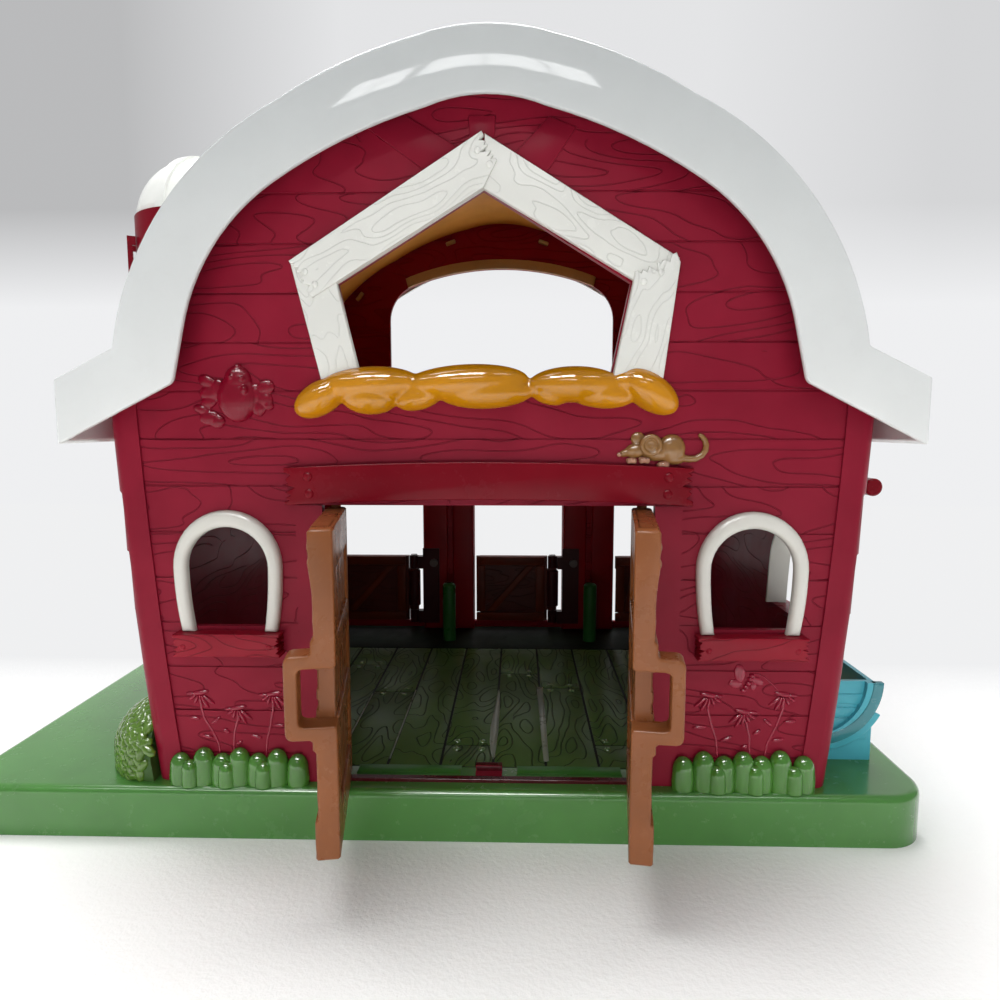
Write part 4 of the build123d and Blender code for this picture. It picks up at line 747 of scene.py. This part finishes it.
def make_flowers(finishes):
    """Flowers and loose leaves under each window, and the butterfly at the right, paler than the wall as
    painted highlight.
    """
    bm = bmesh.new()
    for head, *stem in (
        ((-121.3, 37.7), (-120.7, 35.5), (-120.6, 31.9), (-119.4, 27.0), (-116.2, 21.7), (-113.9, 16.3),
         (-113.3, 11.0)),
        ((-105.6, 31.2), (-104.8, 29.0), (-105.5, 25.8), (-106.7, 21.8), (-107.3, 17.0), (-107.4, 11.0)),
        ((-90.6, 37.5), (-90.0, 35.5), (-90.2, 30.8), (-91.3, 25.0), (-93.0, 18.3), (-93.9, 11.0)),
    ):
        add_flower(bm, head, 1, stem)
    leaf = (1.1, 0.9)  # how far it stands out, and half its height
    add_lumps(bm, [(x, z, length, *leaf, turn) for x, z, turn, length in (
        (-123.5, 27.2, -8, 2.3), (-114.6, 26.2, 40, 2.6), (-118.3, 19.2, -14, 2.3), (-110.2, 21.7, -34, 1.7),
        (-105.0, 16.6, 30, 1.5), (-87.6, 24.4, -4, 2.5), (-97.6, 19.4, -16, 2.6))], 10)
    add_piece("flowers_left", bm, finishes["flower_highlight_red"], sharp=60)
    bm = bmesh.new()
    for head, *stem in (
        ((91.5, 38.7), (90.4, 36.0), (90.6, 33.0), (92.2, 26.9), (94.4, 20.3), (95.4, 11.0)),
        ((105.9, 31.8), (105.6, 29.5), (106.6, 27.4), (108.0, 22.2), (108.4, 11.0)),
        ((121.8, 39.3), (121.6, 36.5), (121.3, 33.7), (118.7, 25.8), (115.6, 19.1), (114.4, 11.0)),
    ):
        add_flower(bm, head, -1, stem)
    add_lumps(bm, [(x, z, length, *leaf, turn) for x, z, turn, length in (
        (87.6, 25.5, 5, 3.0), (98.6, 20.6, 24, 2.9), (111.0, 23.6, 34, 2.0), (106.2, 17.4, 20, 1.6),
        (115.4, 27.8, -40, 2.4), (124.4, 28.4, 8, 2.6), (119.8, 20.4, 8, 2.5))], 10)
    wings = [(103.2, 48.6, 2.3, 0.75, 3.9, 8), (101.6, 44.2, 2.9, 0.75, 1.9, -8),
             (110.6, 45.4, 2.6, 0.75, 1.7, -30), (108.8, 43.2, 1.3, 0.75, 1.9, 0)]
    add_lumps(bm, wings, 14)
    rump = [(104.9, 41.4), (105.9, 42.9), (106.8, 44.5), (107.6, 46.2)]
    add_lumps(bm, [(x, z, 1.25, 1.3, 1.0, 0) for x, z in rump] + [(108.2, 47.7, 1.15, 1.3, 1.0, 0)], 10)
    feeler = [(108.2, 48.2), (110.6, 48.4), (113.6, 46.8), (116.8, 44.0), (119.4, 41.0)]
    rod(bm, [(x, front, deck + z) for x, z in feeler], [0.32] * 5, 8)
    add_piece("flowers_right", bm, finishes["flower_highlight_red"], sharp=60)


# ---------------------------------------------------------------- bushes
def bullet(bm, x, y, wide, deep, top):
    """Round-topped bush: a dome on straight sides that stand on the deck."""
    grown = bmesh.new()
    bmesh.ops.create_uvsphere(grown, u_segments=26, v_segments=17, radius=1)
    cut = bmesh.ops.bisect_plane(grown, geom=grown.verts[:] + grown.edges[:] + grown.faces[:],
                                 plane_co=(0, 0, 0),
                                 plane_no=(0, 0, -1), clear_outer=True)["geom_cut"]
    rim = [g for g in cut if isinstance(g, bmesh.types.BMEdge)]
    for drop, pull in ((0.45, 1.08), (0.45, 0.99)):
        grown_edges = bmesh.ops.extrude_edge_only(grown, edges=rim)["geom"]
        lowered = [g for g in grown_edges if isinstance(g, bmesh.types.BMVert)]
        rim = [g for g in grown_edges if isinstance(g, bmesh.types.BMEdge)]
        bmesh.ops.translate(grown, verts=lowered, vec=(0, 0, -drop))
        bmesh.ops.scale(grown, verts=lowered, vec=(pull, pull, 1))
    bmesh.ops.edgeloop_fill(grown, edges=rim)
    dome = wide * 1.3
    straight = (top - dome) / 0.9
    for v in grown.verts:
        rise = v.co.z * (dome if v.co.z > 0 else straight)
        v.co = Vector((x + v.co.x * wide, y + v.co.y * deep, deck + top - dome + rise)) * mm
    mesh = bpy.data.meshes.new("grown")
    grown.to_mesh(mesh)
    grown.free()
    bm.from_mesh(mesh)
    bpy.data.meshes.remove(mesh)


def make_bushes(finishes):
    tall = {"left": [(-129.6, 12.7), (-119.6, 15.1), (-111.9, 12.7), (-104.4, 15.2), (-96.7, 12.9),
                     (-88.4, 14.8), (-79.8, 12.7)],
            "right": [(80.8, 13.6), (89.2, 15.9), (97.6, 14.0), (105.4, 16.0), (113.0, 14.2), (120.6, 16.6),
                      (130.2, 14.4)]}
    short = {"left": [(-124.6, 10.8), (-109.2, 10.2), (-93.6, 10.4)],
             "right": [(94.3, 10.9), (109.6, 11.3), (125.4, 11.0)]}
    for side in ("left", "right"):
        bm = bmesh.new()
        for x, top in tall[side]:
            bullet(bm, x, front - 1.9, 4.4, 3.9, top)
        for x, top in short[side]:
            bullet(bm, x, front - 4.2, 3.5, 3.2, top)
        add_piece(f"{side}_bushes", bm, finishes["bush_green"], instead_of=(f"{side}_bushes",),
                  sharp=70)


def make_leafy_bush(finishes):
    """Small leaves over the rounded bush at the side wall; the bush under them is a darker green as painted
    shade between the leaves.
    """
    foot, radius, tall, leaves = 9.0, 24.3, 29.4, 470
    golden_turn = 2.399963  # spreads the leaves evenly round the bush
    middle = Vector((-half_width(foot), front + 22.0, deck))
    bm = bmesh.new()
    for k in range(leaves):
        height = tall * (k + 0.5) / leaves
        turn = k * golden_turn
        rise = max(0.0, height - foot) / 20.0
        level = sqrt(max(0.0, 1 - min(1.0, rise) ** 2))
        out = Vector((cos(turn) * level, sin(turn) * level, rise + 0.05))
        place = middle + Vector((cos(turn) * level * radius, sin(turn) * level * radius, height))
        if place.x > -half_width(place.z - deck) - 0.8 or place.y < front - 2.0:
            continue
        lie = out.to_track_quat("Z", "Y").to_matrix().to_4x4()
        lie = lie @ Matrix.Rotation(k * 1.7, 4, "Z") @ Matrix.Rotation(0.45 * sin(k * 3.1), 4, "X")
        where = Matrix.Translation(place * mm) @ lie @ Matrix.Diagonal((4.0 * mm, 2.2 * mm, 1.6 * mm, 1))
        bmesh.ops.create_uvsphere(bm, u_segments=8, v_segments=6, radius=1, matrix=where)
    add_piece("leafy_bush_leaves", bm, finishes["leaf_green"], sharp=80)


# ---------------------------------------------------------------- doors
hinge = (62.4, -112.7)


def round_corners(corners, radius, steps=4):
    """Outline with each corner cut to short chords of an arc."""
    made = []
    for i, here in enumerate(corners):
        before, after = Vector(corners[i - 1]), Vector(corners[(i + 1) % len(corners)])
        here = Vector(here)
        into, out = (before - here).normalized() * radius, (after - here).normalized() * radius
        for k in range(steps + 1):
            t = k / steps
            made.append(tuple(here + into * (1 - t) ** 2 + out * t**2))
    return made


def turned_slab(bm, outline, behind, face, edge, steps, matrix):
    """A slab made in the front view and then laid in another plane."""
    made = slab(bm, outline, behind, face, edge, steps)
    bmesh.ops.transform(bm, matrix=matrix, verts=[v for v in made if v.is_valid])


def wavy(start, end, count, swing, phase=0.0):
    """Points along a board's edge with a slight wave."""
    (x0, z0), (x1, z1) = start, end
    return [(x0 + (x1 - x0) * k / count, z0 + (z1 - z0) * k / count + swing * sin(phase + k * 2.3))
            for k in range(count + 1)]


def edge_line(points, middle):
    """Outline in the plane across the door from places (outwards, above the deck)."""
    return [(middle - out, deck + height) for out, height in points]


# outer line of a door's free edge, from the top down: (outwards from its middle, above the deck)
stile_top = [(3.3, 116.1), (4.1, 115.3), (4.1, 113.0), (4.35, 110.2), (3.95, 107.6), (4.25, 104.6),
             (4.0, 103.0), (3.5, 99.0), (3.1, 95.0), (3.0, 90.0), (3.15, 86.0), (2.95, 82.0), (3.05, 79.6),
             (3.6, 79.2), (4.1, 78.6), (4.1, 75.0), (4.9, 74.2)]
stile_foot = [(4.9, 45.0), (4.1, 44.2), (4.1, 41.5), (3.5, 41.0), (3.05, 40.4), (3.0, 30.0), (3.15, 25.0),
              (2.95, 20.0), (3.0, 17.0), (3.9, 16.4), (4.1, 15.6), (4.1, 8.0), (4.0, 5.0), (4.1, 3.1),
              (3.4, 2.3)]


def door_mesh():
    """Left door as it stands shut: a smooth free edge with its handle, and planks, rails and brace behind."""
    bm = bmesh.new()
    low, high, middle = deck + 2.3, deck + 116.1, hinge[1]
    near, free = -61.0, -0.3
    behind = free - 8.8
    crosswise = Matrix(((0, -1, 0, (free - 4.4) * mm), (1, 0, 0, 0), (0, 0, 1, 0), (0, 0, 0, 1)))
    grip = [(10.6, 74.1), (11.9, 73.7), (12.7, 72.8), (13.0, 71.6), (13.0, 47.7), (12.7, 46.4), (11.9, 45.5),
            (10.6, 45.1)]
    inner = [(-3.4, 2.3), (-4.1, 3.0), (-4.1, 48.4), (-3.8, 49.2), (-3.0, 49.6), (6.6, 49.6), (7.8, 50.0),
             (8.5, 50.8), (8.6, 51.8), (8.6, 67.4), (8.5, 68.4), (7.8, 69.2), (6.6, 69.6), (-3.0, 69.6),
             (-3.8, 70.0), (-4.1, 70.8), (-4.1, 115.4), (-3.4, 116.1)]
    turned_slab(bm, edge_line(stile_top + grip + stile_foot + inner, middle), 4.4, -4.4, 0.8, 3, crosswise)
    slab(bm, box_outline(near, low, behind + 1.0, high), middle + 2.6, middle - 2.6, 0.25, 2)
    seams = [near, -48.0, -35.0, -22.0, behind]
    for k, (start, end) in enumerate(zip(seams, seams[1:])):
        for foot, head in ((low + 9.0, deck + 42.0), (deck + 46.0, deck + 73.0), (deck + 77.0, high - 13.0)):
            last = end + 0.3 if k == 3 else end - 0.35
            plank = round_corners(box_outline(start + 0.35, foot, last, head), 0.3, 1)
            slab(bm, plank, middle - 2.4, middle - 2.95, 0.3, 2)
            slab(bm, plank, middle + 2.4, middle + 2.95, 0.3, 2)
    rails = [(low, low + 13.8), (deck + 41.0, deck + 49.6), (deck + 69.6, deck + 78.9), (high - 15.0, high)]
    for foot, head in rails:
        lower = wavy((near + 2, foot + (0.4 if foot > low else 0)), (behind + 0.5, foot), 9,
                     0.25 if foot > low else 0.0)
        upper = wavy((behind + 0.5, head), (near + 2, head), 9, 0.25 if head < high else 0.0, 1.0)
        slab(bm, lower + upper, middle - 2.3, middle - 4.05, 0.5, 3)
        slab(bm, lower + upper, middle + 2.3, middle + 4.05, 0.5, 3)
    for foot, head in ((low + 13.0, deck + 41.4), (deck + 78.6, high - 14.6)):
        slab(bm, [(near + 4, foot), (near + 13, foot), (behind - 1, head), (behind - 10, head)], middle - 2.4,
             middle - 3.7, 0.4, 2)
    for x in (-54.0, -38.5, -23.0, -12.0):
        for height in (low + 6.8, deck + 45.2, deck + 74.4, high - 8.0):
            egg(bm, (x, middle - 4.05, height), (1.3, 0.55, 1.3), 0, 10)
    for height in (110.3, 104.7):
        egg(bm, (free - 4.4, middle - 4.0, deck + height), (1.6, 0.75, 1.6), 0, 12)
    # stepped ends of the planks behind the handle
    for foot, head, out in ((deck + 49.6, deck + 52.4, 3.6), (deck + 66.8, deck + 69.6, 3.6),
                            (deck + 56.2, deck + 60.0, 3.3)):
        slab(bm, box_outline(behind - 9, foot, behind + 1.0, head), middle - 2.4, middle - out, 0.4, 2)
    # hinge edge and pins
    for foot, head, radius, sides in ((low, high, 4.1, 28), (low - 5.5, high + 5.5, 2.0, 20)):
        post_rod(bm, -hinge[0], middle, foot, head, radius, 0.5 if sides == 28 else 0.4, 0.5, sides)
    return bm


def make_doors(finishes):
    for side, turn, name in ((-1, 80.3, "left_door"), (1, 82.0, "right_door")):
        bm = door_mesh()
        if side > 0:
            bmesh.ops.scale(bm, vec=(-1, 1, 1), verts=bm.verts)
            bmesh.ops.reverse_faces(bm, faces=bm.faces)
        pivot = Vector((side * hinge[0], hinge[1], 0)) * mm
        bmesh.ops.rotate(bm, cent=pivot, matrix=Matrix.Rotation(radians(side * turn), 3, "Z"), verts=bm.verts)
        add_piece(f"{name}_panel", bm, finishes["door_brown"], name, (name,), 40)


# ---------------------------------------------------------------- floor boards behind the doorway
board_pitch, board_first = 23.4, -115.5
# board number: where it is butted
board_joints = {1: 27.0, 2: -16.8, 4: -82.0, 5: 13.4, 6: -9.0, 7: -80.5, 9: -30.0}


def floor_grain(tree, where):
    """Figure of the floor boards, which run along Y."""
    x, y, _ = put(tree, "ShaderNodeSeparateXYZ", Vector=where).outputs
    row = rows_of(tree, x, board_first * mm, board_pitch * mm)
    seed = maths(tree, "MULTIPLY_ADD", row, 3.71, 8.3)
    # depth of the lines in millimetres, and how far painted shade darkens them
    return engraved_lines(tree, y, x, seed, 9.0, 0.034, 0.0125, 0.0008), 0.8, 0.7


def lay(bm, outline, top, edge, steps, sunk=0.05):
    """Slab that lies on the deck: its outline (x, y) seen from above and its height over the deck."""
    made = slab(bm, outline, sunk, -top, edge, steps)
    bmesh.ops.rotate(bm, cent=(0, 0, 0), matrix=Matrix.Rotation(radians(-90), 3, "X"), verts=made)
    bmesh.ops.translate(bm, verts=made, vec=(0, 0, deck * mm))


def make_doorway_foot(finishes):
    """Caps of the two kerbs, and the strip with the door stop in dark red as painted shade."""
    kerbs = bmesh.new()
    for side in (-1, 1):
        outline = box_outline(side * 12.1, front + 6.3, side * 56.9, front + 13.1)
        lay(kerbs, outline[::side], 1.15, 0.3, 2, 0.9)
    add_piece("kerb_caps", kerbs, finishes["kerb_green"])
    # painted shade: the strip over the threshold and the stop are darker than the wall's red
    strip = bmesh.new()
    slab(strip, box_outline(-66.6, deck + 0.05, 66.6, deck + 1.5), front + 3.1, front - 0.1, 0.05, 1)
    slab(strip, box_outline(-5.7, deck + 0.05, 5.7, deck + 3.7), front + 10.9, front + 7.7, 0.5, 2)
    add_piece("doorway_strip", strip, finishes["stop_shade_red"])


def make_floor(finishes):
    """Boards, with nails painted paler as highlight, over a dark sheet of painted shade, and pale glossy
    patches that paint the reflections in some seams.
    """
    boards, nails, reflection_patches, shade_sheet = bmesh.new(), bmesh.new(), bmesh.new(), bmesh.new()
    near_end, far_end, seam = front + 13.3, 61.0, 0.35
    for k in range(10):
        left = board_first + board_pitch * k + 0.55
        right = left + board_pitch - 1.1
        ends = [near_end, far_end]
        if k in board_joints:
            ends.insert(1, board_joints[k])
        for start, end in zip(ends, ends[1:]):
            outline = box_outline(left, start + seam, right, end - seam)
            lay(boards, round_corners(outline, 0.4, 1), 0.4, 0.35, 2)
            nail_rows = [start + 4.0] * (start > near_end) + [end - 4.0] * (end < far_end)
            for y in nail_rows:
                for x in (left + 5.2, right - 5.2):
                    egg(nails, (x, y, deck + 0.35), (1.9, 1.9, 0.8), rings=8)
    # painted reflection: pale glossy patches, a lens, a wedge and two thin strips, that paint the reflections
    # in the seams
    lens = [(1.2, -96.0), (0.2, -90.0), (-0.9, -78.0), (-1.1, -62.0), (0.2, -38.0), (1.2, -14.0),
            (1.9, -12.0), (2.6, -20.0), (3.0, -45.0), (2.9, -66.0), (2.4, -84.0), (1.9, -94.0)]
    wedge = [(24.0, -97.0), (26.4, -97.0), (26.6, -60.0), (26.7, -30.0), (26.6, -8.0), (23.2, -8.0),
             (23.4, -40.0), (23.7, -70.0)]
    thin = [box_outline(x - 0.35, -96.0, x + 0.35, last) for x, last in ((-68.7, -20.0), (-45.3, -14.0))]
    for outline in [lens, wedge] + thin:
        lay(reflection_patches, outline, 0.52, 0.12, 1)
    # painted shade: a dark sheet under the seams and over the deck behind the boards, where the floor lies in
    # shade
    lay(shade_sheet, box_outline(-115.5, front + 13.4, 118.5, far_end), 0.12, 0.05, 1)
    lay(shade_sheet, box_outline(-117.0, far_end + 0.6, 119.0, 113.5), 0.3, 0.05, 1)
    add_piece("floor_shade_sheet", shade_sheet, finishes["floor_painted_shade"])
    add_piece("floor_boards", boards, finishes["floor_green"])
    add_piece("floor_nails", nails, finishes["floor_nail"], sharp=80)
    add_piece("floor_seam_reflection_patches", reflection_patches, finishes["seam_painted_reflection"], sharp=80)


# ---------------------------------------------------------------- inside of the back wall
def make_back_inside(finishes):
    """Tan band over the attic arch, clips under the roof and rounded ribs down the pillars; the band's tan
    paints the shaded, backlit underside of the white roof.
    """
    arch = [(-66.0, 267.8), (-62.6, 269.4), (-55.5, 271.9), (-48.3, 274.1), (-41.0, 276.0), (-33.7, 277.6),
            (-26.2, 278.8), (-18.8, 279.8), (-11.3, 280.4), (-3.8, 280.8), (3.8, 280.8), (11.3, 280.4),
            (18.8, 279.8), (26.2, 278.8), (33.7, 277.6), (41.0, 276.0), (48.3, 274.1), (55.5, 271.9),
            (62.6, 269.4), (65.0, 268.2)]
    bm = bmesh.new()
    above = [(x * 1.01 + 1.0 * (x > 0) - 1.0 * (x < 0), z + 6.4) for x, z in reversed(arch)]
    slab(bm, arch + above, 113.0, 111.2, 0.4, 2)
    for x, z, turn in ((-35.5, 298.6, 20), (29.6, 298.2, -20), (-100.5, 262.0, 52), (100.5, 262.0, -52)):
        clip = Matrix.Translation(Vector((x, 111.4, z)) * mm) @ Matrix.Rotation(radians(-turn), 4, "Y")
        block = clip @ Matrix.Diagonal((7 * mm, 3.4 * mm, 2.4 * mm, 1))
        made = bmesh.ops.create_cube(bm, size=1, matrix=block)["verts"]
        rim = list({e for v in made for e in v.link_edges})
        bmesh.ops.bevel(bm, geom=rim, offset=0.7 * mm, segments=2, profile=0.5, affect="EDGES", material=-1)
    # painted shade and light: the band's tan stands for the white roof's underside in shade with light coming
    # through it
    add_piece("attic_trim", bm, finishes["arch_tan"])
    bm = bmesh.new()
    for left, right in ((-56.6, -38.6), (-35.4, -19.9), (44.9, 62.0), (65.4, 81.6), (-133.0, -122.6)):
        slab(bm, box_outline(left, deck + 1.0, right, deck + 119.0), 108.0, 106.1, 1.8, 5)
    add_piece("pillar_ribs", bm, finishes["pillar_red"])


def make_gate_boards(finishes):
    """Lighter rails and a slanted brace on each gate, and the sleeve round its pin, in browns darkened as
    painted shade.
    """
    gate_face = 107.6
    for name, left, right, axis in (("left_gate", -120.4, -69.8, -64.0), ("middle_gate", -18.0, 31.7, 37.5),
                                    ("right_gate", 83.5, 108.2, 114.0)):
        bm = bmesh.new()
        for foot, head in ((28.2, 34.4), (69.6, 75.7)):
            slab(bm, round_corners(box_outline(left, foot, right, head), 0.8, 2), gate_face, gate_face - 1.1,
                 0.4, 2)
        for x in (left, right - 6.4):
            slab(bm, box_outline(x, 34.8, x + 6.4, 69.2), gate_face, gate_face - 1.0, 0.4, 2)
        slab(bm, [(left + 7, 35.0), (left + 13, 35.0), (right - 7, 69.0), (right - 13, 69.0)],
             gate_face + 1.0, gate_face - 0.4, 0.4, 2)
        for x in (left + 3.2, right - 3.2):
            for z in (31.3, 72.6):
                egg(bm, (x, gate_face - 1.0, z), (1.2, 0.5, 1.2), rings=10)
        add_piece(f"{name}_boards", bm, finishes["gate_board"], name)
        bm = bmesh.new()
        post_rod(bm, axis, 110.2, 38.5, 65.5, 4.5, 0.7, 0.8, 20)
        add_piece(f"{name}_hinge_sleeve", bm, finishes["bracket_dark"], name)


# ---------------------------------------------------------------- trough
def arc_band(bm, centre, inner, outer, start, end, behind, face, edge):
    """Curved band in the front view between two angles, in degrees from +X."""
    steps = [radians(start + (end - start) * k / 22) for k in range(23)]
    line = [(centre[0] + outer * cos(t), centre[1] + outer * sin(t)) for t in steps]
    line += [(centre[0] + inner * cos(t), centre[1] + inner * sin(t)) for t in reversed(steps)]
    slab(bm, line, behind, face, edge, 3)


def make_trough_detail(finishes):
    """Bail moulded on the trough's two ends, with the lip under it and the planks inside its curve; the bail
    is a darker turquoise as painted shade.
    """
    centre = (145.2, deck + 36.5)
    ends = ((-1, -91.0), (1, -39.0))
    bm = bmesh.new()
    for side, face in ends:
        arc_band(bm, centre, 24.0, 28.7, -86, 0, face - side * 0.2, face + side * 2.9, 0.5)
    add_piece("trough_band", bm, finishes["trough_band"])
    bm = bmesh.new()
    for side, face in ends:
        arc_band(bm, centre, 28.6, 32.4, -86, -28, face - side * 0.2, face + side * 1.5, 0.7)
    for level in (46.0, 40.9, 35.8, 52.2):
        for side, face in ends:
            plank = box_outline(148.0, level - 4.6, 168.4, level)
            slab(bm, plank, face - side * 0.2, face + side * 0.55, 0.35, 2)
    add_piece("trough_planks", bm, finishes["trough_blue"])


def make_awning_edge(finishes):
    """Rolled edge along the side awning."""
    bm = bmesh.new()
    rod(bm, [(171.5, y, 143.5) for y in (-80.0, -79.2, -24.8, -24.0)], [3.3, 4.0, 4.0, 3.3], 20)
    add_piece("awning_edge", bm, finishes["trim_red"])


# ---------------------------------------------------------------- inside of the roof
def rounded_copy(name, reach, steps, finish):
    """Copy of a node with its faces joined up and its sharp edges rounded."""
    bm = bmesh.new()
    bm.from_mesh(nodes[name].data)
    bmesh.ops.remove_doubles(bm, verts=bm.verts, dist=2e-6)
    bmesh.ops.dissolve_limit(bm, angle_limit=radians(0.5), verts=bm.verts, edges=bm.edges, delimit=set())
    sharp = [e for e in bm.edges if len(e.link_faces) == 2 and e.calc_face_angle(0) > radians(32)]
    bmesh.ops.bevel(bm, geom=sharp, offset=reach * mm, segments=steps, profile=0.5, affect="EDGES",
                    material=-1, clamp_overlap=True)
    bmesh.ops.triangulate(bm, faces=[f for f in bm.faces if len(f.verts) > 4])
    add_piece(f"{name}_moulded", bm, finish, instead_of=(name,), sharp=35)


def make_roof_underside_light(finishes):
    """Tan skin under the roof: the roof's own inner faces, set a little way in, whose tan paints the warm
    light that comes through the white roof.
    """
    bm = bmesh.new()
    bm.from_mesh(nodes["roof_shell"].data)
    bmesh.ops.remove_doubles(bm, verts=bm.verts, dist=2e-6)
    gone = [f for f in bm.faces if f.normal.z > -0.12 or abs(f.calc_center_median().y) > 0.127
            or abs(f.normal.y) > 0.5 or f.calc_center_median().z < (deck + 170) * mm]
    bmesh.ops.delete(bm, geom=gone, context="FACES")
    bmesh.ops.solidify(bm, geom=bm.faces[:], thickness=0.5 * mm)
    for v in bm.verts:
        v.co.z -= 0.6 * mm
        v.co.y *= 0.882
    # painted light: the loft's tan on the white roof's underside
    add_piece("roof_underside_light", bm, finishes["loft_tan"], sharp=30)


# ---------------------------------------------------------------- the whole barn
make_camera()
finishes = make_finishes()
finish_nodes(finishes)
make_studio()
for side, name in ((-1, "left"), (1, "right")):
    make_window(side * window_middle, f"{name}_window_frame", finishes)
for side, name in ((-1, "left"), (1, "right")):
    make_sill(side * window_middle, f"{name}_window_ledge", finishes)
make_lintel(finishes)
make_loft_boards(finishes)
make_gable_boards(finishes)
make_hay(finishes)
make_bird(finishes)
make_mouse(finishes)
make_flowers(finishes)
make_bushes(finishes)
make_leafy_bush(finishes)
make_doors(finishes)
make_roof_underside_light(finishes)
rounded_copy("roof_shell", 1.1, 3, finishes["roof_white"])
make_doorway_foot(finishes)
make_floor(finishes)
make_back_inside(finishes)
make_gate_boards(finishes)
make_trough_detail(finishes)
make_awning_edge(finishes)
